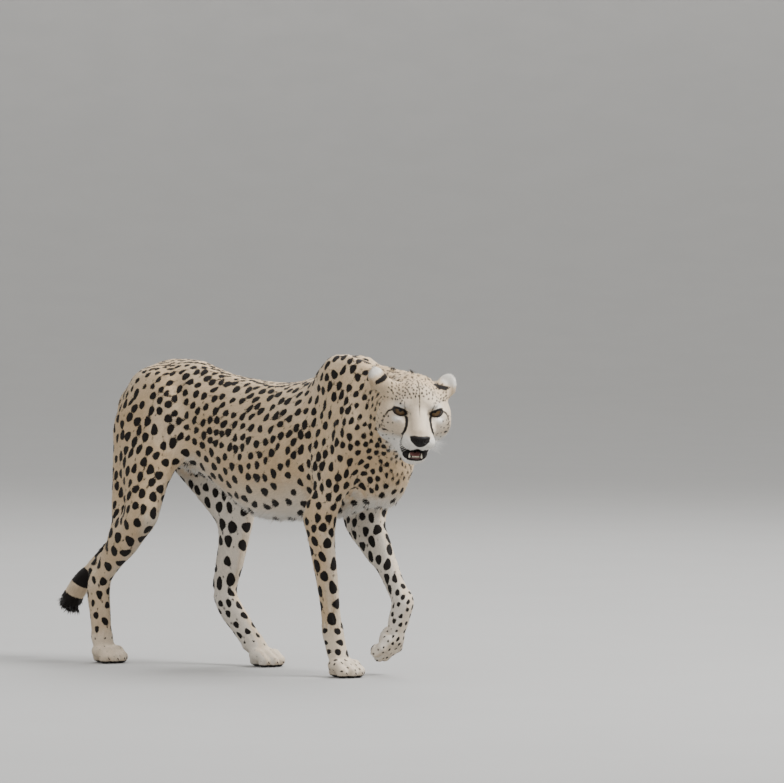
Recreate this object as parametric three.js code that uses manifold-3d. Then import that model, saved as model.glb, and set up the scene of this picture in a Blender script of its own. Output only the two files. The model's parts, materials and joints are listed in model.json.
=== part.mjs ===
// A walking cheetah as a life-size still model, in millimetres.
// +X is the way the trunk faces, +Y its left and +Z up.
// The left forepaw is lifted and the other three stand on flats at z = 0.
// The head is low and turned right, with the mouth a little open.
// The flesh is one smooth field of bones and muscles. Each named part is skinned
// in a box of its own and parted from its neighbours by thin cuts.
import * as THREE from "three";
import { mergeVertices } from "three/addons/utils/BufferGeometryUtils.js";
import Module from "manifold-3d";

const wasm = await Module();
wasm.setup();

const gap = 0.3; // between touching parts

// joints of the pose
const hip = { right: [-22, -60, 575], left: [-22, 60, 575] };
const knee = { right: [30, -112, 352], left: [158, 88, 405] };
const hock = { right: [-145, -66, 196], left: [128, 70, 158] };
const hindBall = { right: [-130, -70, 30], left: [234, 72, 30] };
const shoulder = { right: [660, -76, 560], left: [668, 70, 540] };
const elbow = { right: [554, -88, 360], left: [545, 80, 346] };
const wrist = { right: [583, -76, 104], left: [699, 36, 168] };
const foreBall = { right: [602, -74, 30], left: [672, 34, 83] };
const scapulaTop = { right: [600, -46, 690], left: [556, 44, 682] };

// the head's own frame: origin midway between the eyes, +x out of the nose, turned by degrees
const headPlace = { at: [889, -140, 610], yaw: -43, pitch: 14.5, roll: -2.6 };

// The neck and tail run through stations [x, y, z, deep, wide]:
// deep is the half size in the plane that they bend in, and wide the half size across.
const neckLine = [
  [600, 4, 588, 108, 74],
  [650, -6, 596, 108, 73],
  [710, -24, 603, 98, 66],
  [770, -48, 609, 86, 61],
  [828, -78, 614, 74, 60],
];
const tailLine = [
  [-74, 0, 634, 30, 28],
  [-110, 4, 602, 26, 24],
  [-137, 17, 550, 23, 22],
  [-150, 40, 470, 20, 20],
  [-160, 50, 380, 18, 18],
  [-184, 40, 294, 18, 18],
  [-224, 20, 226, 21, 21],
  [-266, 2, 178, 23, 23],
  [-290, -6, 138, 21, 21],
];

// trunk outline from rump to breast; keel is how far the flanks draw in below
const trunkLine = [
  { x: -112, back: 640, belly: 540, wide: 24, keel: 0.2 },
  { x: -70, back: 672, belly: 505, wide: 54, keel: 0.2 },
  { x: 0, back: 711, belly: 468, wide: 82, keel: 0.2 },
  { x: 65, back: 717, belly: 455, wide: 84, keel: 0.2 },
  { x: 130, back: 710, belly: 442, wide: 76, keel: 0.25 },
  { x: 200, back: 687, belly: 400, wide: 74, keel: 0.3 },
  { x: 280, back: 674, belly: 358, wide: 82, keel: 0.35 },
  { x: 350, back: 667, belly: 348, wide: 91, keel: 0.4 },
  { x: 420, back: 670, belly: 350, wide: 97, keel: 0.45 },
  { x: 490, back: 686, belly: 352, wide: 96, keel: 0.5 },
  { x: 560, back: 708, belly: 362, wide: 88, keel: 0.5 },
  { x: 620, back: 704, belly: 384, wide: 78, keel: 0.4 },
  { x: 672, back: 676, belly: 415, wide: 62, keel: 0.3 },
];
const trunkEnds = { rump: 8, breast: 30 };

// paws, in a frame of their own: +x to the toes, the ball of the foot at the origin
const toes = [
  { side: -27, reach: 38, r: 12.5 },
  { side: -10, reach: 50, r: 13 },
  { side: 10, reach: 50, r: 13 },
  { side: 27, reach: 38, r: 12.5 },
];
const pawDepth = 30; // from the ball down to the ground
const toeDroop = 15; // how much lower a toe ends than it starts
const pawPlaces = {
  right_hind: { at: hindBall.right, turn: [0, 0, -4], length: 1 },
  left_hind: { at: hindBall.left, turn: [0, 0, 2], length: 1 },
  right_fore: { at: foreBall.right, turn: [0, 0, -3], length: 1.1 },
  left_fore: { at: foreBall.left, turn: [0, 112, 2], length: 1.1 },
};

// the head's features, in its own frame
const eye = { at: [-6, 39, -1], r: 16.5 };
const lids = { half: 15, upper: 8.5, lower: 6, out: 20, tilt: 9 }; // out and tilt in degrees
const jawLean = 0.16; // the jaw swings a little to the right as it opens
const earDisc = {
  at: { right: [-74, 91, 57], left: [-70, 70, 45] },
  out: [-0.66, 0.68, -0.2],
  up: [-0.3, 0.6, 0.74],
  radii: [11, 23.5, 24],
  wall: 5,
};
const earRoot = [-58, 56, 26];

// locks of longer hair: sunk is how deep a root goes, run where its rings are along it
const lockForm = { sunk: 6, run: [0.18, 0.54, 1], wide: [0.8, 1, 0.75], thick: [3.6, 3, 2] };
const crestForm = {
  rows: [-26, -13, 0, 13, 26], from: 0.2, to: 0.87, each: 4, length: 34, wide: 22, rise: [2, 6, 7],
};
const brushForm = { rings: 2, each: 5, from: 0.5, to: 0.98, length: 32, wide: 21, rise: [2, 1, -8] };

// vectors
const sub = (a, b) => [a[0] - b[0], a[1] - b[1], a[2] - b[2]];
const add = (a, b, s = 1) => [a[0] + b[0] * s, a[1] + b[1] * s, a[2] + b[2] * s];
const dot = (a, b) => a[0] * b[0] + a[1] * b[1] + a[2] * b[2];
const distance = (a, b) => Math.hypot(...sub(a, b));
const unit = (a) => a.map((c) => c / Math.hypot(...a));
const cross = (a, b) => new THREE.Vector3(...a).cross(new THREE.Vector3(...b)).toArray();
const mix = (a, b, t) => a + (b - a) * t;
const lerp = (a, b, t) => [mix(a[0], b[0], t), mix(a[1], b[1], t), mix(a[2], b[2], t)];
const clamp01 = (t) => Math.min(1, Math.max(0, t));
const radians = THREE.MathUtils.degToRad;
const along = (a, b, t, shift = [0, 0, 0]) => add(lerp(a, b, t), shift);

function turned(degrees) {
  return new THREE.Matrix4().makeRotationFromEuler(new THREE.Euler(...degrees.map(radians), "ZYX"));
}

function moved(e, [x, y, z]) {
  return [
    e[0] * x + e[4] * y + e[8] * z + e[12],
    e[1] * x + e[5] * y + e[9] * z + e[13],
    e[2] * x + e[6] * y + e[10] * z + e[14],
  ];
}

// a field read in the frame of a matrix
function through(matrix, field) {
  const back = matrix.clone().invert().elements;
  return (p) => field(moved(back, p));
}

// Fields are negative inside a shape and about the distance from it outside.
function ovalDistance(x, y, z, rx, ry, rz) {
  const k0 = Math.hypot(x / rx, y / ry, z / rz);
  const k1 = Math.hypot(x / (rx * rx), y / (ry * ry), z / (rz * rz));
  if (k1 < 1e-9) return -Math.min(rx, ry, rz === 1 ? rx : rz);
  return (k0 * (k0 - 1)) / k1;
}

// an oval rod between two points, each with its [deep, wide] half sizes
function rod(a, b, [deep0, wide0], [deep1, wide1], side = [0, 1, 0]) {
  const line = sub(b, a);
  const length = Math.hypot(...line);
  const dir = unit(line);
  const across = unit(add(side, dir, -dot(side, dir)));
  return (p) => {
    const from = sub(p, a);
    const t = clamp01(dot(from, dir) / length);
    const off = add(from, dir, -t * length);
    const q = dot(off, across);
    const rest = Math.sqrt(Math.max(0, dot(off, off) - q * q));
    return ovalDistance(rest, q, 0, mix(deep0, deep1, t), mix(wide0, wide1, t), 1);
  };
}

// an egg of flesh, turned by degrees about x, y and z
function egg(at, radii, turn = [0, 0, 0]) {
  const back = turned(turn).invert().elements;
  return (p) => ovalDistance(...moved(back, sub(p, at)), ...radii);
}

function melt(a, b, k) {
  const h = Math.max(k - Math.abs(a - b), 0) / k;
  return Math.min(a, b) - (h * h * k) / 4;
}

const carve = (a, b, k) => -melt(-a, b, k); // a without b

// several fields melted together over the radius k
const together = (k, ...fields) => (p) => fields.reduce((d, f) => melt(d, f(p), k), 1e3);

// a smooth curve through the stations of the trunk, read at x
function station(line, key, x) {
  let i = 0;
  while (i < line.length - 2 && x > line[i + 1].x) i++;
  const a = line[i];
  const b = line[i + 1];
  const before = line[Math.max(0, i - 1)];
  const after = line[Math.min(line.length - 1, i + 2)];
  const span = b.x - a.x;
  const m0 = ((b[key] - before[key]) / (b.x - before.x || 1)) * span;
  const m1 = ((after[key] - a[key]) / (after.x - a.x || 1)) * span;
  const t = clamp01((x - a.x) / span);
  const t2 = t * t;
  const t3 = t2 * t;
  const ends = (2 * t3 - 3 * t2 + 1) * a[key] + (3 * t2 - 2 * t3) * b[key];
  return ends + (t3 - 2 * t2 + t) * m0 + (t3 - t2) * m1;
}

function trunk(p) {
  const x = Math.min(trunkLine[trunkLine.length - 1].x, Math.max(trunkLine[0].x, p[0]));
  const back = station(trunkLine, "back", x);
  const belly = station(trunkLine, "belly", x);
  const middle = (back + belly) / 2;
  const high = (back - belly) / 2;
  const level = (p[2] - middle) / high;
  const low = clamp01(-level);
  const top = clamp01(level);
  const drawn = 1 - station(trunkLine, "keel", x) * low * low - 0.18 * top * top;
  const over = p[0] - x;
  const end = over < 0 ? trunkEnds.rump : trunkEnds.breast;
  return ovalDistance(over, p[1], p[2] - middle, end * 2, station(trunkLine, "wide", x) * drawn, high);
}

function cubic(a, b, c, d, t) {
  return b + 0.5 * t * (c - a + t * (2 * a - 5 * b + 4 * c - d + t * (3 * (b - c) + d - a)));
}

// the stations of a limb, with smooth steps between them
function smoothRings(stations, steps) {
  const last = stations.length - 1;
  const rings = [];
  for (let i = 0; i < last; i++) {
    const [a, b, c, d] = [i - 1, i, i + 1, i + 2].map((n) => stations[Math.min(last, Math.max(0, n))]);
    for (let s = 0; s < steps; s++) {
      rings.push(b.map((_, k) => cubic(a[k], b[k], c[k], d[k], s / steps)));
    }
  }
  return [...rings, stations[last]];
}

// an oval limb through stations, smooth from end to end
function sweep(stations, side = [0, 1, 0], steps = 7) {
  const rings = smoothRings(stations, steps);
  const spans = rings.slice(1).map((b, i) => {
    const line = sub(b, rings[i]);
    const dir = unit(line);
    const across = unit(add(side, dir, -dot(side, dir)));
    return { a: rings[i], b, dir, length: Math.hypot(...line), across };
  });
  const box = [0, 1, 2].map((c) => [
    Math.min(...stations.map((s) => s[c] - s[3])), Math.max(...stations.map((s) => s[c] + s[3]))]);
  return (p) => {
    const out = Math.hypot(...box.map(([low, high], c) => Math.max(low - p[c], 0, p[c] - high)));
    return out > 40 ? out : spanDistance(p, nearestSpan(p, spans));
  };
}

function nearestSpan(p, spans) {
  let found = { far: 1e9 };
  for (const span of spans) {
    const from = sub(p, span.a);
    const t = clamp01(dot(from, span.dir) / span.length);
    const off = add(from, span.dir, -t * span.length);
    const far = Math.hypot(...off) - mix(span.a[3] + span.a[4], span.b[3] + span.b[4], t) / 2;
    if (far < found.far) found = { far, span, t };
  }
  return found;
}

function spanDistance(p, { span, t }) {
  const off = sub(p, lerp(span.a, span.b, t));
  const q = dot(off, span.across);
  const rest = Math.sqrt(Math.max(0, dot(off, off) - q * q));
  return ovalDistance(rest, q, 0, mix(span.a[3], span.b[3], t), mix(span.a[4], span.b[4], t), 1);
}

const neck = sweep(neckLine);
const tail = sweep(tailLine);

// stations down a limb from sizes [how far from one joint to the next, forward, deep, wide]
function stationsOf(from, to, sizes) {
  return sizes.map(([t, forward, deep, wide]) => [...along(from, to, t, [forward, 0, 0]), deep, wide]);
}

const sides = { right: -1, left: 1 };

// what differs between the legs of the two sides, as they stand
const hindForm = {
  right: {
    ischium: [-70, -46, 556], heel: [-33, 0, 20], calf: [-18, 0, -8], ahead: 0, stout: 3, ham: 0.4,
  },
  left: {
    ischium: [-66, 44, 560], heel: [-29, 0, 26], calf: [-18, 0, 0], ahead: 8, stout: 4, ham: 0.3,
  },
};
const foreForm = {
  right: { blade: -24, tall: 67, tricep: [-34, 0, 22], lean: 18, thick: 0, behind: -2 },
  left: { blade: -20, tall: 64, tricep: [-34, 0, 24], lean: 24, thick: 8, behind: -12 },
};

function shin(s) {
  const { ahead } = hindForm[s];
  return sweep(stationsOf(knee[s], hock[s], [
    [-0.06, ahead, 34 + ahead / 2, 31],
    [0.16, ahead, 42 + ahead / 3, 32],
    [0.4, ahead - 3, 41, 30],
    [0.68, ahead - 2, 34, 24],
    [0.9, -2, 31, 22],
    [1, 0, 30, 22],
  ]));
}

function cannon(s) {
  const { stout } = hindForm[s];
  return sweep(stationsOf(hock[s], hindBall[s], [
    [0, 0, 30, 22],
    [0.2, -6, 31 + stout, 23],
    [0.5, -4, 28 + stout, 22],
    [0.8, -2, 24 + stout, 24],
    [1, 2, 23, 27],
  ]));
}

function hindLeg(s) {
  const y = sides[s];
  const form = hindForm[s];
  const heel = add(hock[s], form.heel);
  const calf = along(knee[s], hock[s], 0.36, form.calf);
  return together(24,
    egg([-4, 48 * y, 622], [68, 36, 74]),
    rod(hip[s], knee[s], [64, 40], [40, 32]),
    rod(form.ischium, along(knee[s], hock[s], form.ham, [-6, 0, 0]), [42, 34], [33, 26]),
    rod([50, 46 * y, 640], along(hip[s], knee[s], 0.76, [14, 0, 0]), [38, 34], [44, 34]),
    rod([104, 56 * y, 520], along(hip[s], knee[s], 0.86, [26, 0, 0]), [26, 16], [20, 20]),
    together(10, shin(s), cannon(s), rod(calf, heel, [24, 17], [12, 10])));
}

function forearm(s) {
  const { thick, behind } = foreForm[s];
  return sweep([
    ...stationsOf(elbow[s], wrist[s], [
      [-0.1, behind, 35 + thick, 27],
      [0.1, thick + behind + 2, 38 + thick, 27],
      [0.3, thick + behind / 2, 35 + thick, 25],
      [0.52, thick / 2 + 1, 32, 22],
      [0.76, 1, 28, 20],
      [0.93, 0, 27, 22],
      [1, 0, 26, 23],
    ]),
    ...stationsOf(wrist[s], foreBall[s], [
      [0.3, 0, 25, 23],
      [0.66, 0, 23, 25],
      [1, 2, 21, 28],
    ]),
  ]);
}

function foreLeg(s) {
  const top = scapulaTop[s];
  const y = sides[s];
  const form = foreForm[s];
  return together(24,
    egg(add(top, [0, 0, form.blade]), [98, 32, form.tall]),
    rod(top, shoulder[s], [44, 27], [42, 36]),
    rod(add(top, [-30, 0, -14]), along(top, elbow[s], 0.62, [-16, 0, 0]), [32, 25], [40, 32]),
    rod(shoulder[s], elbow[s], [44 + form.thick, 33], [38 + form.thick, 27]),
    rod(along(top, shoulder[s], 0.6), add(shoulder[s], [8, -14 * y, -20]), [30, 26], [36, 32]),
    egg(along(shoulder[s], elbow[s], 0.44, form.tricep), [42, 25, 76], [0, form.lean, 0]),
    together(10, forearm(s), egg(add(elbow[s], [-27, 0, 14]), [15, 13, 20])));
}

function toe({ side, reach, r }) {
  const knuckle = [reach * 0.55, side, -4];
  return together(6,
    rod([0, side * 0.7, -2], knuckle, [15, 13], [12.5, r]),
    rod(knuckle, [reach, side * 1.05, -toeDroop], [12.5, r], [11, r - 1.5]),
    egg([reach - 4, side, -pawDepth + 9.5], [14, r - 1.5, 11.5]));
}

function paw(length) {
  const pad = egg([2, 0, -pawDepth + 12], [24 * length, 25, 14.5]);
  return together(5, together(8, pad, egg([4, 0, -6], [22, 30, 18])), ...toes.map(toe));
}

const placed = ({ at, turn }) => turned(turn).setPosition(...at);

// one half of the head; the other is its mirror
const headParts = together(16,
  egg([-52, 0, 8], [60, 57, 50]), // skull
  egg([-21, 0, 20], [34, 40, 31]), // forehead
  egg([-60, 46, 14], [34, 27, 30]),
  egg([-62, 58, 34], [17, 15, 17]), // root of the ear
  egg([-6, 27, 17], [20, 18, 9]), // brow
  rod([-4, 0, 4], [56, 0, -32], [19, 21], [13, 17]), // bridge of the nose
  rod([4, 0, -34], [44, 0, -50], [26, 37], [21, 27]), // muzzle
  egg([46, 18, -56], [25, 19, 17]), // whisker pad
  rod([18, 26, -34], [-30, 48, -28], [13, 12], [36, 28]),
  egg([-62, 48, -38], [38, 36, 46]), // cheek
  rod([8, 44, -17], [-40, 60, -12], [11, 9], [20, 14]), // cheekbone
  egg([-94, 0, -6], [44, 56, 60]),
  rod([-46, 34, -68], [26, 14, -90], [22, 18], [17, 15]), // jaw
  egg([37, 0, -96], [20, 22, 15])); // chin
const socket = egg([8, 42, 0], [11, 17, 9]);
const lidBall = egg(eye.at, [eye.r + 3, eye.r + 3, eye.r + 2]);
const headHalf = (p) => melt(carve(headParts(p), socket(p), 12), lidBall(p), 6);
const headField = ([x, y, z]) => headHalf([x, Math.abs(y + jawLean * Math.max(0, -z - 60)), z]);

const headFrame = turned([headPlace.roll, headPlace.pitch, headPlace.yaw]).setPosition(...headPlace.at);
const headBack = headFrame.clone().invert();
const headToBody = (p) => moved(headFrame.elements, p);
const headPoint = (p) => moved(headBack.elements, p);

// the whole of the flesh
const breast = egg([664, 12, 482], [68, 66, 96]);

function limbField(leg, name) {
  const place = pawPlaces[name];
  return together(8, leg, through(placed(place), paw(place.length)));
}

const fleshParts = {
  trunk: together(24, trunk, breast),
  neck,
  tail,
  head: through(headFrame, headField),
  right_hind: limbField(hindLeg("right"), "right_hind"),
  left_hind: limbField(hindLeg("left"), "left_hind"),
  right_fore: limbField(foreLeg("right"), "right_fore"),
  left_fore: limbField(foreLeg("left"), "left_fore"),
};
const flesh = (...names) => together(26, ...names.map((n) => fleshParts[n]));

// the corners of a cell, its edges, its faces and the corners opposite each other through its middle
const cellCorners = [0, 1, 2, 3, 4, 5, 6, 7].map((c) => [c & 1, (c >> 1) & 1, c >> 2]);
const cellEdges = [0, 1, 2, 3, 4, 5, 6].flatMap((a) =>
  [1, 2, 4].filter((bit) => !(a & bit)).map((bit) => [a, a | bit]));
const cellFaces = [[0, 1, 3, 2], [4, 5, 7, 6], [0, 1, 5, 4], [2, 3, 7, 6], [0, 2, 6, 4], [1, 3, 7, 5]];
const cellDiagonals = [[0, 7], [1, 6], [2, 5], [3, 4]];
const steps = [[1, 0, 0], [0, 1, 0], [0, 0, 1]];

// a box of cells over a field, with its values at the corners of the cells
function grid(low, high, cell) {
  const n = [0, 1, 2].map((i) => Math.ceil((high[i] - low[i]) / cell[i]) + 1);
  return {
    n,
    at: ([i, j, k]) => [low[0] + i * cell[0], low[1] + j * cell[1], low[2] + k * cell[2]],
    index: ([i, j, k]) => (k * n[1] + j) * n[0] + i,
    value: new Float32Array(n[0] * n[1] * n[2]),
  };
}

// calls back for each corner from one to another, x first
function each(from, to, visit) {
  for (let k = from[2]; k < to[2]; k++) {
    for (let j = from[1]; j < to[1]; j++) {
      for (let i = from[0]; i < to[0]; i++) visit([i, j, k]);
    }
  }
}

// reads the field at every corner, or only once for a block of corners that is far from the surface
function readField(field, g, cell) {
  const block = 4;
  const far = Math.hypot(...cell) * block * 0.5 * 1.35;
  each([0, 0, 0], g.n.map((c) => Math.ceil(c / block)), (b) => {
    const from = b.map((c) => c * block);
    const middle = field(g.at(from.map((c) => c + (block - 1) / 2)));
    each(from, from.map((c, i) => Math.min(g.n[i], c + block)), (p) => {
      const here = Math.abs(middle) > far ? middle : field(g.at(p));
      const rim = p.some((c, i) => c === 0 || c === g.n[i] - 1);
      g.value[g.index(p)] = rim ? Math.max(1, here) : here;
    });
  });
}

// takes away the crossings where two sheets of the surface would meet in one cell; true if it changed any
function untangle(g) {
  const offsets = cellCorners.map((c) => g.index(c));
  let changed = false;
  each([0, 0, 0], g.n.map((c) => c - 1), (p) => {
    const base = g.index(p);
    const value = offsets.map((o) => g.value[base + o]);
    const put = (c) => {
      g.value[base + offsets[c]] = 0.01;
      changed = true;
    };
    const inside = value.map((v) => v < 0);
    const count = inside.filter(Boolean).length;
    if (count < 2 || count > 6) return;
    for (const [a, b, c, d] of cellFaces) {
      if (inside[a] && inside[c] && !inside[b] && !inside[d]) put(value[a] > value[c] ? a : c);
      if (inside[b] && inside[d] && !inside[a] && !inside[c]) put(value[b] > value[d] ? b : d);
    }
    for (const [a, b] of cellDiagonals) {
      if (count === 2 && inside[a] && inside[b]) put(a);
      if (count === 6 && !inside[a] && !inside[b]) put((a + 1) % 8);
    }
  });
  return changed;
}

// one point in each cell that the surface crosses
function cellPoints(g) {
  const pointOf = new Map();
  const points = [];
  each([0, 0, 0], g.n.map((c) => c - 1), (p) => {
    const v = cellCorners.map((c) => g.value[g.index(add(p, c))]);
    const crossed = cellEdges.filter(([a, b]) => (v[a] < 0) !== (v[b] < 0));
    if (crossed.length === 0) return;
    const sum = crossed.reduce(
      (s, [a, b]) => add(s, lerp(cellCorners[a], cellCorners[b], v[a] / (v[a] - v[b]))), [0, 0, 0]);
    pointOf.set(g.index(p), points.length);
    points.push(g.at(add(p, sum, 1 / crossed.length)));
  });
  return { pointOf, points };
}

// four cells round each edge of the grid that the surface crosses
function cellQuads(g, pointOf) {
  const quads = [];
  each([0, 0, 0], g.n.map((c) => c - 1), (p) => {
    const here = g.value[g.index(p)] < 0;
    for (let d = 0; d < 3; d++) {
      if (p.some((c, axis) => axis !== d && c === 0)) continue;
      if (here === g.value[g.index(add(p, steps[d]))] < 0) continue;
      const u = steps[(d + 1) % 3];
      const w = steps[(d + 2) % 3];
      const quad = [[0, 0], [-1, 0], [-1, -1], [0, -1]].map(
        ([a, b]) => pointOf.get(g.index(add(add(p, u, a), w, b))));
      quads.push(here ? quad : quad.reverse());
    }
  });
  return quads;
}

function slope(field, p, h = 0.5) {
  return steps.map((step) => (field(add(p, step, h)) - field(add(p, step, -h))) / (2 * h));
}

// moves a point on to the surface of a field, no further than reach at a time
function drawOn(field, p, reach) {
  let q = p;
  for (let turn = 0; turn < 3; turn++) {
    const g = slope(field, q);
    const steep = Math.hypot(...g);
    if (steep < 0.1) break;
    const move = Math.max(-reach, Math.min(reach, -field(q) / steep));
    q = add(q, g, move / steep);
  }
  return distance(q, p) < reach * 2 ? q : p;
}

// surface nets over a box of cells, as points and triangles
function skin(field, low, high, cell) {
  const g = grid(low, high, cell);
  readField(field, g, cell);
  while (untangle(g)) continue;
  const { pointOf, points } = cellPoints(g);
  const settled = points.map((p) => drawOn(field, p, Math.min(...cell) * 0.45));
  const triangles = cellQuads(g, pointOf).flatMap(([a, b, c, d]) => {
    const short = distance(settled[a], settled[c]) < distance(settled[b], settled[d]);
    return short ? [a, b, c, a, c, d] : [a, b, d, b, c, d];
  });
  return { points: settled, triangles };
}

function solidFrom(points, triangles) {
  return new wasm.Manifold(new wasm.Mesh({
    numProp: 3,
    vertProperties: Float32Array.from(points.flat()),
    triVerts: Uint32Array.from(triangles),
  }));
}

function solidOf(geometry, matrix = new THREE.Matrix4()) {
  const bare = geometry.clone().applyMatrix4(matrix);
  bare.deleteAttribute("normal");
  bare.deleteAttribute("uv");
  const merged = mergeVertices(bare, 1e-3);
  return new wasm.Manifold(new wasm.Mesh({
    numProp: 3,
    vertProperties: merged.attributes.position.array,
    triVerts: new Uint32Array(merged.index.array),
  }));
}

function geometryOf(solid) {
  const { vertProperties, triVerts, numProp } = solid.getMesh();
  const position = Float32Array.from(vertProperties.filter((_, i) => i % numProp < 3));
  const shared = new THREE.BufferGeometry();
  shared.setAttribute("position", new THREE.BufferAttribute(position, 3));
  shared.setIndex(new THREE.BufferAttribute(new Uint32Array(triVerts), 1));
  const faceted = shared.toNonIndexed();
  faceted.computeVertexNormals();
  return faceted;
}

// a plane through a point: what lies along its normal is kept
const plane = (at, normal) => ({ at, normal: unit(normal) });
const opposite = ({ at, normal }) => ({ at, normal: normal.map((x) => -x) });

function trim(solid, planes, back = gap / 2) {
  return planes.reduce((s, cut) => s.trimByPlane(cut.normal, dot(cut.normal, cut.at) + back), solid);
}

// everything that some planes keep, grown so that a gap is left to it
const region = (planes) => trim(solidOf(new THREE.BoxGeometry(2400, 2400, 2400)), planes, -gap / 2);
const without = (solid, sets) => sets.reduce((rest, planes) => rest.subtract(region(planes)), solid);
const largest = (solid) => solid.decompose().reduce((a, b) => (b.volume() > a.volume() ? b : a));

const model = new THREE.Group();
model.name = "cheetah";
const looks = {
  coat: [0xcfb58c, 0.85],
  eye: [0xb9782c, 0.1],
  nose: [0x1c1816, 0.5],
  tooth: [0xe9e2cf, 0.3],
  tongue: [0xa8696a, 0.5],
};

function addNode(name, solid, look = "coat") {
  const [color, roughness] = looks[look];
  const material = new THREE.MeshStandardMaterial({ color, roughness, metalness: 0 });
  const mesh = new THREE.Mesh(geometryOf(largest(solid)), material);
  mesh.name = name;
  model.add(mesh);
}

// a solid of a field inside a box of a frame, grown outwards if asked
function fleshIn(field, low, high, cell, frame = new THREE.Matrix4(), grow = 0) {
  const inFrame = (p) => field(moved(frame.elements, p));
  const { points, triangles } = skin(inFrame, low, high, cell);
  const grown = grow ? points.map((p) => add(p, unit(slope(inFrame, p)), grow)) : points;
  return solidFrom(grown.map((p) => moved(frame.elements, p)), triangles);
}

// an even draw between 0 and 1 that is the same in each run
function draws(seed) {
  let state = seed;
  return () => {
    state = (state * 1664525 + 1013904223) % 4294967296;
    return state / 4294967296;
  };
}

// a flat lock that leaves the skin at root, bends over along its lie and ends in a point
function lock(root, out, lie, { length, wide, rise }) {
  const run = unit(add(lie, out, -dot(lie, out)));
  const across = cross(out, run);
  const above = (i) => add(add(root, out, rise[i]), run, lockForm.run[i] * length);
  const rings = [add(root, out, -lockForm.sunk), above(0), above(1)].flatMap((at, i) => {
    const half = (lockForm.wide[i] * wide) / 2;
    const thick = lockForm.thick[i] / 2;
    const lift = unit(i === 0 ? sub([0, 0, 0], run) : add(out, run, -0.3));
    const low = add(at, lift, -thick / 3);
    return [add(low, across, half), add(at, lift, thick), add(low, across, -half), add(at, lift, -thick)];
  });
  return solidFrom([...rings, above(2)], lockTriangles());
}

// a root cap, three rings of four and a tip
function lockTriangles() {
  const triangles = [0, 2, 1, 0, 3, 2];
  for (let a = 0; a < 8; a++) {
    const b = a - (a % 4) + ((a + 1) % 4);
    triangles.push(a, b, a + 4, b, b + 4, a + 4);
  }
  for (let i = 0; i < 4; i++) triangles.push(8 + i, 8 + ((i + 1) % 4), 12);
  return triangles;
}

const withLocks = (solid, locks) => locks.reduce((all, one) => all.add(one), solid);

// where a line from inside the flesh comes out of it
function comesOut(field, from, dir, far) {
  let near = 0;
  let out = far;
  for (let turn = 0; turn < 24; turn++) {
    const half = (near + out) / 2;
    if (field(add(from, dir, half)) < 0) near = half;
    else out = half;
  }
  return add(from, dir, near);
}

const haunch = flesh("trunk", "right_hind", "left_hind");
const hind = flesh("trunk", "tail", "right_hind", "left_hind");
const rump = flesh("trunk", "tail");
const fore = flesh("trunk", "neck", "right_fore", "left_fore");
const nape = flesh("trunk", "neck", "head", "right_fore", "left_fore");

// rows of locks over the nape, from behind the ears to the withers
function crest() {
  const draw = draws(11);
  const back = neckLine[1].slice(0, 3);
  const front = neckLine[neckLine.length - 1].slice(0, 3);
  const lie = unit(sub(back, front));
  const beside = unit([-lie[1], lie[0], 0]);
  return crestForm.rows.flatMap((angle, row) => Array.from({ length: crestForm.each }, (_, i) => {
    const t = mix(crestForm.from, crestForm.to, (i + (row % 2) / 2 + 0.2 * draw()) / crestForm.each);
    const a = radians(angle + 5 * (draw() - 0.5));
    const up = add([0, 0, Math.cos(a)], beside, Math.sin(a));
    const root = comesOut(nape, lerp(back, front, t), up, 200);
    const out = unit(add(slope(nape, root), up));
    const length = crestForm.length * mix(0.85, 1.15, draw());
    return lock(root, out, add(lie, beside, 0.3 * Math.sin(a)), { ...crestForm, length });
  }));
}

// locks round the end of the tail
function brush() {
  const draw = draws(5);
  const [before, last] = tailLine.slice(-2).map((s) => s.slice(0, 3));
  const lie = unit(sub(last, before));
  const side = unit([-lie[1], lie[0], 0]);
  const up = cross(side, lie);
  return Array.from({ length: brushForm.rings * brushForm.each }, (_, i) => {
    const ring = Math.floor(i / brushForm.each);
    const a = (2 * Math.PI * (i + ring / 2 + 0.3 * draw())) / brushForm.each;
    const t = mix(brushForm.from, brushForm.to, ring / (brushForm.rings - 1));
    const round = add(side.map((c) => c * Math.cos(a)), up, Math.sin(a));
    const root = comesOut(tail, lerp(before, last, t), round, 60);
    const length = brushForm.length * mix(0.85, 1.1, draw());
    return lock(root, unit(slope(tail, root)), lie, { ...brushForm, length });
  });
}

// where the parts are cut
const ground = plane([0, 0, -gap / 2], [0, 0, 1]);
const breastFlat = plane([0, 0, 343], [0, 0, 1]);
const loinCut = plane([100, 0, 600], [1, 0, 0]);
const chestCut = plane([262, 0, 500], [1, 0, 0]);
const neckCut = plane([668, -12, 590], [0.93, -0.16, 0.33]);
const skullCut = plane(headToBody([-84, 0, 0]), sub(headToBody([1, 0, -0.12]), headPlace.at));
const tailCuts = [
  plane([-108, 2, 606], [-0.76, 0, -0.65]),
  plane([-146, 30, 508], [0.12, -0.2, 0.97]),
  plane([-196, 36, 268], [0.4, 0.16, 0.9]),
];
const thighFront = {
  right: plane([92, 0, 600], [-0.983, 0, -0.184]),
  left: plane([108, 0, 620], [-0.894, 0, -0.447]),
};
const shoulderBack = { right: plane([494, 0, 500], [1, 0, 0]), left: plane([486, 0, 500], [1, 0, 0]) };

const thighPlanes = (s) => [plane([0, 32 * sides[s], 470], [0, 0.946 * sides[s], -0.323]), thighFront[s]];
const shoulderPlanes = (s) => [
  plane([0, 20 * sides[s], 735], [0, 0.999 * sides[s], 0.04]),
  shoulderBack[s],
  plane([690, 0, 735], [-0.972, 0, -0.235]),
];
const limbCut = (a, b, t) => plane(along(a, b, t), sub(a, b));
const kneeCut = (s) => plane(along(knee[s], hock[s], 0.1), [s === "right" ? -0.24 : 0.1, 0, 1]);
const both = (f) => [f("right"), f("left")];

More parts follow.
